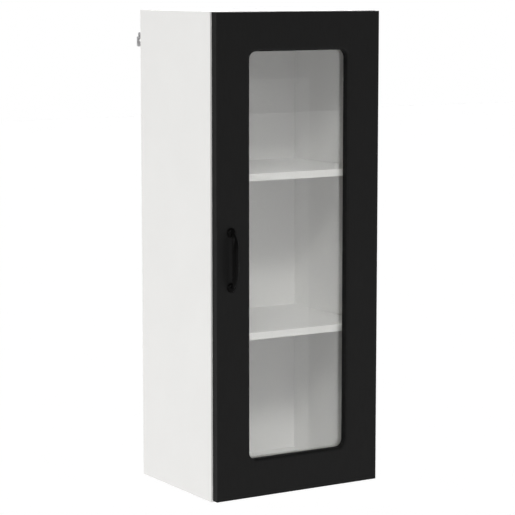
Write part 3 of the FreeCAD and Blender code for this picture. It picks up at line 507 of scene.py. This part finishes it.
# Where the point starts: its share of the root's radius, and its length in pitches.
POINT_START = (0.9, 0.4)
HEAD_FLAT = 0.94
RECESS_WIDTH = 0.28
RECESS_REACH = 0.62
RECESS_DEPTH = 0.75
DOME_SHARE = 0.62
DOME_STEPS = 7
ARRIS = 0.15 * MM
NAIL_RADIUS = 0.7 * MM
NAIL_HEAD = 0.6 * MM
NAIL_RINGS = 6
NAIL_RINGS_START = 3 * MM
NAIL_PITCH = 2 * MM
NAIL_GROOVE = 0.1 * MM
NAIL_TIP = (0.5 * MM, 1.2 * MM)
# Node: the piece's name, where its heads point, head height and shank radius.
SCREWS = {
    "hinge_cup_screws": ("cup_screws", "+y", 1.4 * MM, 1.75 * MM),
    "hinge_plate_screws": ("plate_screws", "-x", 1.4 * MM, 1.75 * MM),
    "hinge_adjusting_screws": ("adjusting_screws", "-x", 2 * MM, 2.5 * MM),
    "glass_clip_screws": ("clip_screws", "+y", 1.5 * MM, 1.25 * MM),
    "handle_screws": ("handle_bolts", "+y", 2.5 * MM, 2 * MM),
}
HANGER_SCREW_HEAD = 2 * MM
HANGER_SCREW_RADIUS = 3 * MM
FIXING_HEAD = 3 * MM
FIXING_RADIUS = 2 * MM


def cross_tool(radius, depth):
    """The cross that a driver bit leaves in a head whose top is z = 0."""
    half_width = radius * RECESS_WIDTH / 2
    reach = radius * RECESS_REACH
    arms = ((reach, half_width), (half_width, reach))
    return fused(*(block((-x, -y, -depth), (x, y, depth)) for x, y in arms))


def screw(head_radius, head_height, shank_radius, length, sunk):
    """A cross-head screw along z: the head's top is z = 0 and the point is at -length."""
    if sunk:
        head = [(0, 0), (head_radius * HEAD_FLAT, 0), (head_radius, -ARRIS), (shank_radius, -head_height)]
    else:
        dome = [(head_radius * math.sin(angle), -head_height * DOME_SHARE * (1 - math.cos(angle)))
                for angle in (math.pi / 2 * step / DOME_STEPS for step in range(DOME_STEPS + 1))]
        head = [(0, 0), *dome[1:], (head_radius, -head_height), (shank_radius, -head_height)]
    turns = max(2, int((length - head_height) / THREAD_PITCH) - 1)
    pitch = (length - head_height) / (turns + 1)
    root = shank_radius * THREAD_ROOT
    shank = []
    for turn in range(turns):
        start = -head_height - pitch * turn
        shank += [(radius, start - pitch * step)
                  for radius, step in zip((root, shank_radius, root), THREAD_STEPS)]
    width, rise = POINT_START
    point = [(root * width, -length + pitch * rise), (0, -length)]
    body = lathe([*head, *shank, *point], 24)
    return cut_from(body, cross_tool(head_radius, head_height * RECESS_DEPTH))


def screws_for(node, name, direction, head_height, shank_radius, sunk=False):
    """Detailed screws in place of a node's plain ones, each as large as its own solid."""
    axis = "xyz".index(direction[1])
    across = (axis + 1) % 3
    group = bmesh.new()
    solids = solids_of(node)
    size = solids[0][1] - solids[0][0]
    template = screw(size[across] / 2, head_height, shank_radius, size[axis], sunk)
    for low, high in solids:
        top = middle_of((low, high))
        top[axis] = high[axis] if direction[0] == "+" else low[axis]
        merge(group, template, aimed(direction, top))
    template.free()
    show(group, name, node)


def hanger_fixing_screws():
    """The housings' fixing screws: their heads face the middle of the cabinet."""
    group = bmesh.new()
    for low, high in solids_of("hanger_fixings"):
        on_right = low.x > 0
        top = middle_of((low, high))
        top.x = low.x if on_right else high.x
        one = screw((high.y - low.y) / 2, FIXING_HEAD, FIXING_RADIUS, high.x - low.x, True)
        merge(group, one, aimed("-x" if on_right else "+x", top))
        one.free()
    show(group, "hanger_fixing_screws", "hanger_fixings")


def nails():
    """Ring-shank nails with slightly domed heads behind the back board."""
    group = bmesh.new()
    tip_radius, tip_length = NAIL_TIP
    for low, high in solids_of("back_panel_nails"):
        head = (high.x - low.x) / 2
        height = high.y - low.y
        rings = []
        for ring in range(NAIL_RINGS):
            start = -NAIL_RINGS_START - NAIL_PITCH * ring
            rings += [(NAIL_RADIUS, start), (NAIL_RADIUS - NAIL_GROOVE, start - NAIL_PITCH / 4),
                      (NAIL_RADIUS, start - NAIL_PITCH / 2)]
        one = lathe([(0, 0), (head * 0.7, -NAIL_HEAD / 10), (head, -NAIL_HEAD / 2), (head, -NAIL_HEAD),
                     (NAIL_RADIUS, -NAIL_HEAD), *rings, (tip_radius, tip_length - height),
                     (0, -height)], 20)
        top = middle_of((low, high))
        top.y = high.y
        merge(group, one, aimed("+y", top))
        one.free()
    show(group, "nails", "back_panel_nails")


# ---- handle --------------------------------------------------------------------------------------

BOW_REACH = 18 * MM
BOW_LIMIT = math.radians(86)
HEADING_STEP = 0.001
GRIP_STEPS = 72
GRIP_SIDES = 36
# Half width and half depth of the grip's section at its ends, and how much the middle adds.
GRIP_END = (3.8 * MM, 3.6 * MM)
GRIP_SWELL = (3.4 * MM, 0.9 * MM)
FOOT_RADIUS = 10 * MM
BEAD_RADIUS = 0.6 * MM
BEAD_MIDDLE = 0.8 * MM
BEAD_HALF = 0.7 * MM
DOME_RADIUS = 9 * MM
DOME_START = 2 * MM
DOME_RISE = 5.4 * MM


def bow_point(turn, half_pitch):
    """How far along the door and how far out the bow's centre line is; turn runs from -90 to 90 degrees."""
    share = math.sin(turn)
    return half_pitch * share, BOW_REACH * math.sqrt(1 - share ** 4)


def bow_grip(x, door_face, middle, half_pitch):
    """The arched grip: oval rings square to its centre line, widest at the middle."""
    grip = bmesh.new()
    rings = []
    for step in range(GRIP_STEPS + 1):
        turn = BOW_LIMIT * (2 * step / GRIP_STEPS - 1)
        along, out = bow_point(turn, half_pitch)
        before, after = (bow_point(turn + shift, half_pitch) for shift in (-HEADING_STEP, HEADING_STEP))
        heading = Vector((0, before[1] - after[1], after[0] - before[0])).normalized()
        outward = heading.cross(Vector((1, 0, 0)))
        swell = (1 - math.sin(turn) ** 4) ** 2
        half_width, half_depth = (end + more * swell for end, more in zip(GRIP_END, GRIP_SWELL))
        centre = Vector((x, door_face - out, middle + along))
        rings.append([grip.verts.new(centre + Vector((half_width * math.cos(angle), 0, 0))
                                     + outward * half_depth * math.sin(angle))
                      for angle in (2 * math.pi * side / GRIP_SIDES for side in range(GRIP_SIDES))])
    for first, second in zip(rings, rings[1:]):
        for side in range(GRIP_SIDES):
            following = (side + 1) % GRIP_SIDES
            grip.faces.new((first[side], first[following], second[following], second[side]))
    grip.faces.new(rings[0])
    grip.faces.new(rings[-1])
    bmesh.ops.recalc_face_normals(grip, faces=grip.faces)
    return grip


def handle():
    """Cast bow handle: two domed rosettes with a bead round the rim, and the arched grip between them."""
    low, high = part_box("handle")
    middle = middle_of((low, high))
    heights = [middle_of(solid).z for solid in solids_of("handle_screws")]
    half_pitch = (max(heights) - min(heights)) / 2
    bead = [(FOOT_RADIUS - BEAD_RADIUS * (1 - math.sin(angle)), BEAD_MIDDLE - BEAD_HALF * math.cos(angle))
            for angle in (math.radians(30 * step) for step in range(7))]
    dome = [(DOME_RADIUS * math.cos(angle), DOME_START + DOME_RISE * math.sin(angle))
            for angle in (math.radians(7.5 * step) for step in range(12))]
    profile = [(0, 0), (FOOT_RADIUS - BEAD_RADIUS, 0), *bead, *dome, (0, DOME_START + DOME_RISE)]
    rosettes = [turned(lathe(profile, 56), "-y", Vector((middle.x, high.y, height))) for height in heights]
    grip = bow_grip(middle.x, high.y, middle.z, half_pitch)
    show(fused(grip, *rosettes), "bow_handle", "handle")


# ---- hinges --------------------------------------------------------------------------------------

HINGES = ("lower", "middle", "upper")
CUP_RADIUS = 17.5 * MM
CUP_DEPTH = 13 * MM
CUP_WALL = 1 * MM
CUP_BEND = 3 * MM
FLANGE = 1.2 * MM
FLANGE_CORNERS = (9 * MM, 5 * MM, 5 * MM, 9 * MM)
FLANGE_EDGE = 0.35 * MM
SCREW_BORE = 1.75 * MM
COUNTERSINK = [(0, -3 * MM), (SCREW_BORE, -3 * MM), (SCREW_BORE, -0.9 * MM), (2.9 * MM, 0.3 * MM),
               (0, 0.3 * MM)]
LUG_NEAR = 4.4 * MM
LUG_WIDTH = 3.6 * MM
LUG_REACH = 3.2 * MM
LUG_RIGHT = 2.8 * MM
LUG_ROOT = 12.5 * MM
LUG_CORNERS = (0, 0, 1.2 * MM, 3 * MM)
# Shares of the pin's radius, each with its height.
PIN_END = [(0, 0), (0.6, 0), (0.92, 0.25 * MM), (1, 0.7 * MM)]
EYE_RADIUS = 2.5 * MM
EYE_HALF = 4 * MM
PIN_BORE = 1.55 * MM
NECK = 2 * MM
NECK_BENDS = (0, 2.6 * MM, 0, 0, 0.8 * MM, 0)
CHANNEL_START = 10 * MM
CHANNEL_LAP = 4 * MM
CHANNEL_WALL = 1.5 * MM
CHANNEL_BENDS = (0, 1.8 * MM, 1.8 * MM, 0, 0, 0.5 * MM, 0.5 * MM, 0)
# Half length, half height and corner radius of the arm's slots; length and height of its cut corners.
ARM_SLOT = (3.6 * MM, 2.5 * MM, 2.45 * MM)
ARM_CORNER = (8 * MM, 4.5 * MM)
CROSS_ARM = 9 * MM
CROSS_WING = 8 * MM
CROSS_CORNERS = (3 * MM, 1 * MM, 6.5 * MM, 6.5 * MM, 1 * MM, 3 * MM)
CROSS_EDGE = 0.4 * MM
ADJUSTING_BORE = 2.5 * MM


def bowl(radius, floor, top):
    """A round bowl's shape along z, as a solid, with a bend between floor and wall."""
    bend = [(radius - CUP_BEND * (1 - math.sin(angle)), floor + CUP_BEND * (1 - math.cos(angle)))
            for angle in (math.radians(15 * step) for step in range(7))]
    return lathe([(0, floor), *bend, (radius, top), (0, top)], 64)


def hinge_cup(name):
    """Pressed cup: bent bowl, flange with rounded wings, countersunk screw holes and lugs for the pin."""
    node = "hinge_cup_" + name
    low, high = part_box(node)
    z = middle_of((low, high)).z
    back = high.y - FLANGE
    seat = Vector((low.x + CUP_RADIUS, back, z))
    wing = prism(rounded(rectangle(low.x, low.z, high.x, high.z), FLANGE_CORNERS, 8), back, high.y, "y")
    soften(wing, FLANGE_EDGE)
    body = fused(turned(bowl(CUP_RADIUS, -CUP_DEPTH, 0), "+y", seat), wing)
    tools = [turned(bowl(CUP_RADIUS - CUP_WALL, CUP_WALL - CUP_DEPTH, 3 * MM), "+y", seat)]
    for solid in at_hinge("hinge_cup_screws", z):
        place = middle_of(solid)
        place.y = high.y
        tools.append(turned(lathe(COUNTERSINK, 24), "+y", place))
    cup = cut_from(body, *tools)
    pin = middle_of(at_hinge("hinge_pins", z)[0])
    arch = rounded(rectangle(pin.x - LUG_REACH, back - LUG_ROOT, pin.x + LUG_RIGHT, pin.y + LUG_REACH),
                   LUG_CORNERS)
    for start in (z - LUG_NEAR - LUG_WIDTH, z + LUG_NEAR):
        cup = fused(cup, prism(arch, start, start + LUG_WIDTH))
    show(cup, "cup_" + name, node)


def pins():
    """Hinge pins with rounded, upset ends."""
    group = bmesh.new()
    for low, high in solids_of("hinge_pins"):
        radius = (high.x - low.x) / 2
        lower = [(radius * share, height) for share, height in PIN_END]
        upper = [(width, high.z - low.z - height) for width, height in reversed(lower)]
        one = lathe(lower + upper, 24)
        middle = middle_of((low, high))
        merge(group, one, Matrix.Translation((middle.x, middle.y, low.z)))
        one.free()
    show(group, "pins", "hinge_pins")


def hinge_arm(name):
    """Pressed arm: rolled eye, bent neck and a slotted channel with its rear corners cut off."""
    node = "hinge_arm_" + name
    low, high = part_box(node)
    z = middle_of((low, high)).z
    pin = middle_of(at_hinge("hinge_pins", z)[0])
    at_pin = Matrix.Translation((pin.x, pin.y, z))
    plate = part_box("hinge_plate_" + name)[0].x
    front = pin.y + CHANNEL_START
    foot = pin.y - EYE_RADIUS
    strip = [(low.x, front + CHANNEL_LAP), (low.x, foot), (pin.x, foot), (pin.x, foot + NECK),
             (low.x + NECK, foot + NECK), (low.x + NECK, front + CHANNEL_LAP)]
    neck = prism(rounded(strip, NECK_BENDS), z - EYE_HALF, z + EYE_HALF)
    eye = peg(EYE_RADIUS, -EYE_HALF, EYE_HALF, 36)
    eye.transform(at_pin)
    inner, bottom, top = low.x + CHANNEL_WALL, low.z + CHANNEL_WALL, high.z - CHANNEL_WALL
    profile = [(plate, low.z), (low.x, low.z), (low.x, high.z), (plate, high.z),
               (plate, top), (inner, top), (inner, bottom), (plate, bottom)]
    channel = prism(rounded(profile, CHANNEL_BENDS, 5), front, high.y, "y")
    bore = peg(PIN_BORE, -1.5 * EYE_HALF, 1.5 * EYE_HALF, 32)
    bore.transform(at_pin)
    tools = [bore]
    half_length, half_height, slot_corner = ARM_SLOT
    for solid in at_hinge("hinge_adjusting_screws", z):
        y = middle_of(solid).y
        slot = rectangle(y - half_length, z - half_height, y + half_length, z + half_height)
        tools.append(prism(rounded(slot, slot_corner, 8), low.x - MM, low.x + 3 * MM, "x"))
    length, height = ARM_CORNER
    for edge, inward in ((low.z, 1), (high.z, -1)):
        wedge = [(high.y - length, edge - inward * MM), (high.y + MM, edge - inward * MM),
                 (high.y + MM, edge + inward * height)]
        tools.append(prism(wedge, low.x - MM, low.x + 4 * MM, "x"))
    show(cut_from(fused(neck, eye, channel), *tools), "arm_" + name, node)


def hinge_plate(name):
    """Cross-shaped plate with rounded wings and round holes for its screws."""
    node = "hinge_plate_" + name
    low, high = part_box(node)
    z = middle_of((low, high)).z
    screws = at_hinge("hinge_plate_screws", z)
    line = middle_of(screws[0]).y
    left, right = line - CROSS_WING, line + CROSS_WING
    bottom, top = z - CROSS_ARM, z + CROSS_ARM
    cross = [(low.y, bottom), (left, bottom), (left, low.z), (right, low.z), (right, bottom),
             (high.y, bottom), (high.y, top), (right, top), (right, high.z), (left, high.z), (left, top),
             (low.y, top)]
    plate = prism(rounded(cross, CROSS_CORNERS * 2), low.x, high.x, "x")
    soften(plate, CROSS_EDGE)
    bores = [(SCREW_BORE, line, middle_of(solid).z) for solid in screws]
    bores += [(ADJUSTING_BORE, middle_of(solid).y, z) for solid in at_hinge("hinge_adjusting_screws", z)]
    tools = [turned(peg(radius, MM, -BORE_DEPTH), "-x", Vector((low.x, y, height)))
             for radius, y, height in bores]
    show(cut_from(plate, *tools), "plate_" + name, node)


# ---- hangers -------------------------------------------------------------------------------------

HOUSING_EDGE = 0.5 * MM
COVER_CORNERS = (3 * MM, 1 * MM, 1 * MM, 3 * MM)
COVER_EDGE = 0.4 * MM
GROOVE_HEIGHTS = (-16 * MM, -13 * MM, -10 * MM)
GROOVE_INSET = 5 * MM
GROOVE_HALF = 0.6 * MM
GROOVE_DEPTH = 0.4 * MM
GROOVE_CORNER = 0.55 * MM
PLATE_STEEL = 2 * MM
PLATE_STEP = 6 * MM
PLATE_BENDS = (0, 0, 2 * MM, 0.5 * MM, 0.8 * MM, 0.8 * MM, 1.8 * MM, 0.4 * MM)
PLATE_CORNER = 2.5 * MM
WALL_BORE = 2.75 * MM
WALL_BORE_EDGE = 8 * MM
HOOK_STEEL = 3 * MM
HOOK_BENDS = (0.6 * MM, 0.6 * MM, 0.8 * MM, 0.4 * MM, 0.8 * MM, 0.8 * MM, 2.6 * MM, 3.2 * MM)
HOOK_EDGE = 0.3 * MM
HOOK_LIP_LOW = 9 * MM
HOOK_BORE = 3.3 * MM
HOOK_BORE_HEIGHT = 10 * MM


def hanger_cap(side):
    """Snap cover with soft edges and three shallow grip grooves."""
    node = "hanger_cap_" + side
    low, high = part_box(node)
    cap = prism(rounded(rectangle(low.y, low.z, high.y, high.z), COVER_CORNERS), low.x, high.x, "x")
    soften(cap, COVER_EDGE, 3)
    face = low.x if side == "right" else high.x
    grooves = []
    for height in GROOVE_HEIGHTS:
        z = middle_of((low, high)).z + height
        groove = rectangle(low.y + GROOVE_INSET, z - GROOVE_HALF, high.y - GROOVE_INSET, z + GROOVE_HALF)
        grooves.append(prism(rounded(groove, GROOVE_CORNER, 4), face - GROOVE_DEPTH, face + GROOVE_DEPTH,
                             "x"))
    show(cut_from(cap, *grooves), "cap_" + side, node)


def wall_plate(side):
    """Pressed steel plate: bent Z with round bends, rounded corners and round screw holes."""
    node = "wall_plate_" + side
    low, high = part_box(node)
    profile = [(high.y - PLATE_STEEL, low.z), (high.y, low.z), (high.y, PLATE_STEP + PLATE_STEEL),
               (low.y + PLATE_STEEL, PLATE_STEP + PLATE_STEEL), (low.y + PLATE_STEEL, high.z),
               (low.y, high.z), (low.y, PLATE_STEP), (high.y - PLATE_STEEL, PLATE_STEP)]
    plate = prism(rounded(profile, PLATE_BENDS, 5), low.x, high.x, "x")
    tools = [turned(peg(WALL_BORE, -BORE_DEPTH, MM, 32), "+y", Vector((x, high.y, 0)))
             for x in (low.x + WALL_BORE_EDGE, high.x - WALL_BORE_EDGE)]
    for x, inward in ((low.x, 1), (high.x, -1)):
        for z, upward in ((low.z, 1), (high.z, -1)):
            arc = [(x + inward * PLATE_CORNER * (1 - math.sin(angle)),
                    z + upward * PLATE_CORNER * (1 - math.cos(angle)))
                   for angle in (math.radians(15 * step) for step in range(7))]
            outline = [(x - inward * MM, z - upward * MM), (x + inward * PLATE_CORNER, z - upward * MM),
                       *arc, (x - inward * MM, z + upward * PLATE_CORNER)]
            tools.append(prism(outline, low.y - MM, high.y + MM, "y"))
    show(cut_from(plate, *tools), "wall_bracket_" + side, node)


def hook(side):
    """Steel hook strip with round bends and a bore for the depth screw."""
    node = "hanger_hook_" + side
    low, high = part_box(node)
    arm_low = high.z - HOOK_STEEL
    profile = [(low.y, low.z), (low.y + HOOK_STEEL, low.z), (low.y + HOOK_STEEL, arm_low),
               (high.y - HOOK_STEEL, arm_low), (high.y - HOOK_STEEL, HOOK_LIP_LOW),
               (high.y, HOOK_LIP_LOW), (high.y, high.z), (low.y, high.z)]
    strip = prism(rounded(profile, HOOK_BENDS), low.x, high.x, "x")
    soften(strip, HOOK_EDGE, 1, 60)
    bore = turned(peg(HOOK_BORE, -MM, HOOK_STEEL + 2 * MM, 28), "+y",
                  Vector((middle_of((low, high)).x, low.y, HOOK_BORE_HEIGHT)))
    show(cut_from(strip, bore), "hook_" + side, node)


# ---- door fittings and small parts ---------------------------------------------------------------

PANE_EDGE = 0.4 * MM
CLIP_CORNER = 3.5 * MM
CLIP_EDGE = 0.7 * MM
CLIP_BORE = 1.25 * MM
# Shares of the bumper's radius and thickness, from its foot to the flat on top.
BUMPER_PROFILE = [(1, -1), (1, -0.8), (0.96, -0.5), (0.82, -0.18), (0.6, 0)]
CAP_ARRIS = 0.15 * MM
# Distances from the cap's rim, each with its depth.
CAP_GROOVE = [(0.9 * MM, 0), (1.1 * MM, 0.25 * MM), (1.3 * MM, 0)]
NOTCH_REACH = 0.8 * MM
NOTCH_HALF = 1.2 * MM
NOTCH_DEPTH = 0.5 * MM
TAPED_BOARDS = ("side_panel_left", "side_panel_right", "top_panel", "bottom_panel", "shelf_upper",
                "shelf_lower")
TAPE_ARRIS = 0.6 * MM


def clips():
    """Glass clips: rounded stepped blocks that lap over the pane, each bored for its screw."""
    group = bmesh.new()
    pane_low, pane_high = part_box("glass_pane")
    seats = [middle_of(solid) for solid in solids_of("glass_clip_screws")]
    for low, high in solids_of("glass_clips"):
        centre = middle_of((low, high))
        seat = min(seats, key=lambda place: (place - centre).length)
        outline = rounded(rectangle(low.x, low.z, high.x, high.z), CLIP_CORNER)
        one = soften(prism(outline, low.y, high.y, "y"), CLIP_EDGE, 3, 50)
        hole = turned(peg(CLIP_BORE, -BORE_DEPTH, MM, 20), "+y", Vector((seat.x, high.y, seat.z)))
        pane_room = block((pane_low.x, low.y - MM, pane_low.z), (pane_high.x, pane_high.y, pane_high.z))
        one = cut_from(one, hole, pane_room)
        merge(group, one)
        one.free()
    show(group, "clips", "glass_clips")


def bumpers():
    """Soft self-adhesive domes, flat on top where the board presses."""
    group = bmesh.new()
    for low, high in solids_of("door_bumpers"):
        radius = (high.x - low.x) / 2
        thick = high.y - low.y
        profile = [(radius * width, thick * height) for width, height in BUMPER_PROFILE]
        one = lathe([(0, -thick), *profile, (0, 0)], 36)
        top = middle_of((low, high))
        top.y = high.y
        merge(group, one, aimed("+y", top))
        one.free()
    show(group, "bumpers", "door_bumpers")


def cam_caps():
    """Flush caps with a fine rim groove and a pry notch."""
    group = bmesh.new()
    for low, high in solids_of("cam_caps"):
        radius = (high.x - low.x) / 2
        thick = high.z - low.z
        groove = [(radius - inset, -depth) for inset, depth in CAP_GROOVE]
        one = lathe([(0, -thick), (radius, -thick), (radius, -CAP_ARRIS), (radius - CAP_ARRIS, 0),
                     *groove, (0, 0)], 48)
        notch = block((radius - NOTCH_REACH, -NOTCH_HALF, -NOTCH_DEPTH), (radius + MM, NOTCH_HALF, MM))
        one = cut_from(one, notch)
        down = low.z < cad_box[0].z + MM
        top = middle_of((low, high))
        top.z = low.z if down else high.z
        merge(group, one, aimed("-z" if down else "+z", top))
        one.free()
    show(group, "cap_discs", "cam_caps")


def edge_bands():
    """Edge tape on the front of each board, its front arrises eased to a fine bright line."""
    group = bmesh.new()
    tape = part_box("top_panel")[0].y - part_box("edge_bands")[0].y
    for board in TAPED_BOARDS:
        low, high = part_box(board)
        front = low.y - tape
        one = block((low.x, front, low.z), (high.x, low.y, high.z))
        arrises = [edge for edge in one.edges
                   if all(abs(vertex.co.y - front) < 10 * WELD for vertex in edge.verts)]
        bmesh.ops.bevel(one, geom=arrises, offset=TAPE_ARRIS, segments=4, profile=0.5, affect="EDGES")
        merge(group, one)
        one.free()
    show(group, "edge_tape", "edge_bands")


def build_pieces():
    """Every fitting and board that is shown in more detail than the CAD has."""
    handle()
    for name in HINGES:
        hinge_cup(name)
    pins()
    for name in reversed(HINGES):
        hinge_arm(name)
        hinge_plate(name)
    for node, (name, direction, head_height, shank_radius) in SCREWS.items():
        screws_for(node, name, direction, head_height, shank_radius)
    for side in ("left", "right"):
        for kind in ("depth_screw_", "height_screw_"):
            screws_for("hanger_" + kind + side, kind + side, "-y", HANGER_SCREW_HEAD,
                       HANGER_SCREW_RADIUS, True)
        eased("hanger_housing_" + side, "housing_" + side, HOUSING_EDGE)
        hanger_cap(side)
        wall_plate(side)
        hook(side)
    hanger_fixing_screws()
    eased("glass_pane", "window_pane", PANE_EDGE)
    nails()
    clips()
    bumpers()
    cam_caps()
    edge_bands()


# ---- studio --------------------------------------------------------------------------------------

FLOOR_DROP = 2.2
FLOOR_REACH = 40
AMBIENT = 0.34
FLOOR_GLOW = 0.36
LAMPS = {
    "key": {"travel": (0.50, 1.0, -0.80), "energy": 0.85, "spread": 9},
    "side_fill": {"travel": (1.0, -0.04, -0.30), "energy": 0.98, "spread": 20},
    "rear_fill": {"travel": (-0.75, -1.0, -0.45), "energy": 1.0, "spread": 30},
}
PANEL_DISTANCE = 1.9
PANEL_STEP = 0.02
# Left, low, right and high edge of each sheen on the window, and how bright it is.
SHEENS = {
    "wide_sheen": (-0.16, -0.9, 0.16, 0.03, 1.35),
    "left_sheen": (-0.16, -0.9, 0.035, -0.072, 0.45),
}
CAMERA_PLACE = (-2.277, -3.852, 0.1255)
CAMERA_HEADING = math.radians(31.68)
CAMERA_TILT = math.radians(7.684)
CAMERA_LENS = 143.53
SENSOR_WIDTH = 36
CAMERA_SIGHT = 60


def surroundings():
    """A backdrop that is white where it is seen, also through glass, and lights the cabinet softly."""
    world = bpy.data.worlds.new("studio")
    bpy.context.scene.world = world
    world.use_nodes = True
    nodes, links = world.node_tree.nodes, world.node_tree.links
    backdrop = nodes["Background"]
    backdrop.inputs["Color"].default_value = (1, 1, 1, 1)
    ambient = nodes.new("ShaderNodeBackground")
    ambient.inputs["Color"].default_value = (1, 1, 1, 1)
    ambient.inputs["Strength"].default_value = AMBIENT
    path = nodes.new("ShaderNodeLightPath")
    through_glass = nodes.new("ShaderNodeMath")
    through_glass.operation = "GREATER_THAN"
    links.new(path.outputs["Is Transmission Ray"], through_glass.inputs[0])
    links.new(path.outputs["Diffuse Depth"], through_glass.inputs[1])
    seen = nodes.new("ShaderNodeMath")
    seen.operation = "MAXIMUM"
    links.new(path.outputs["Is Camera Ray"], seen.inputs[0])
    links.new(through_glass.outputs["Value"], seen.inputs[1])
    mix = nodes.new("ShaderNodeMixShader")
    links.new(seen.outputs["Value"], mix.inputs["Fac"])
    links.new(ambient.outputs["Background"], mix.inputs[1])
    links.new(backdrop.outputs["Background"], mix.inputs[2])
    links.new(mix.outputs["Shader"], nodes["World Output"].inputs["Surface"])


def lamps():
    """A key from the upper left front, and softer fills from the left and from behind."""
    for name, lamp in LAMPS.items():
        sun = bpy.data.lights.new(name, "SUN")
        sun.energy = lamp["energy"]
        sun.angle = math.radians(lamp["spread"])
        piece = bpy.data.objects.new(name, sun)
        piece.rotation_mode = "QUATERNION"
        piece.rotation_quaternion = Vector(lamp["travel"]).to_track_quat("-Z", "Y")
        bpy.context.collection.objects.link(piece)


def panels():
    """Soft boxes that the window mirrors towards the camera: a pale sheen, and no light on matt surfaces."""
    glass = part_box("glass_pane")[0].y
    eye = Vector((CAMERA_PLACE[0], 2 * glass - CAMERA_PLACE[1], CAMERA_PLACE[2]))
    for index, (name, (left, low, right, high, radiance)) in enumerate(SHEENS.items()):
        panel_y = glass - PANEL_DISTANCE + PANEL_STEP * index
        corners = []
        for x, z in ((left, low), (right, high)):
            ray = Vector((x, glass, z)) - eye
            corners.append(eye + ray * ((panel_y - eye.y) / ray.y))
        size = corners[1] - corners[0]
        lamp = bpy.data.lights.new(name, "AREA")
        lamp.shape = "RECTANGLE"
        lamp.size, lamp.size_y = size.x, size.z
        lamp.energy = radiance * math.pi * size.x * size.z
        piece = bpy.data.objects.new(name, lamp)
        piece.location = (corners[0] + corners[1]) / 2
        piece.rotation_euler = (math.pi / 2, 0, 0)
        piece.visible_camera = False
        piece.visible_diffuse = False
        bpy.context.collection.objects.link(piece)


def floor():
    """A pale sweep of paper far below the hanging cabinet."""
    mesh = bmesh.new()
    bmesh.ops.create_grid(mesh, x_segments=8, y_segments=8, size=FLOOR_REACH)
    data = bpy.data.meshes.new("floor")
    mesh.to_mesh(data)
    mesh.free()
    piece = bpy.data.objects.new("floor", data)
    piece.location.z = cad_box[0].z - FLOOR_DROP
    bpy.context.collection.objects.link(piece)
    paper = Surface("floor_paper", Specular_IOR_Level=0.0, Emission_Color=(1, 1, 1, 1),
                    Emission_Strength=FLOOR_GLOW)
    paper.colour(paper.spread(paper.noise(2, 2), 0, 1), (0.93, 0.93, 0.93), (0.92, 0.92, 0.92))
    paper.roughness(paper.noise(5, 2), 0.8, 0.9)
    data.materials.append(paper.material)


def camera():
    """The photograph's viewing angle."""
    data = bpy.data.cameras.new("camera")
    data.lens = CAMERA_LENS
    data.sensor_width = SENSOR_WIDTH
    data.clip_end = CAMERA_SIGHT
    piece = bpy.data.objects.new("camera", data)
    piece.location = CAMERA_PLACE
    piece.rotation_euler = (math.pi / 2 - CAMERA_TILT, 0, -CAMERA_HEADING)
    bpy.context.collection.objects.link(piece)
    bpy.context.scene.camera = piece
    bpy.context.scene.view_settings.view_transform = "Standard"


finish_cad_nodes()
build_pieces()
surroundings()
lamps()
panels()
floor()
camera()
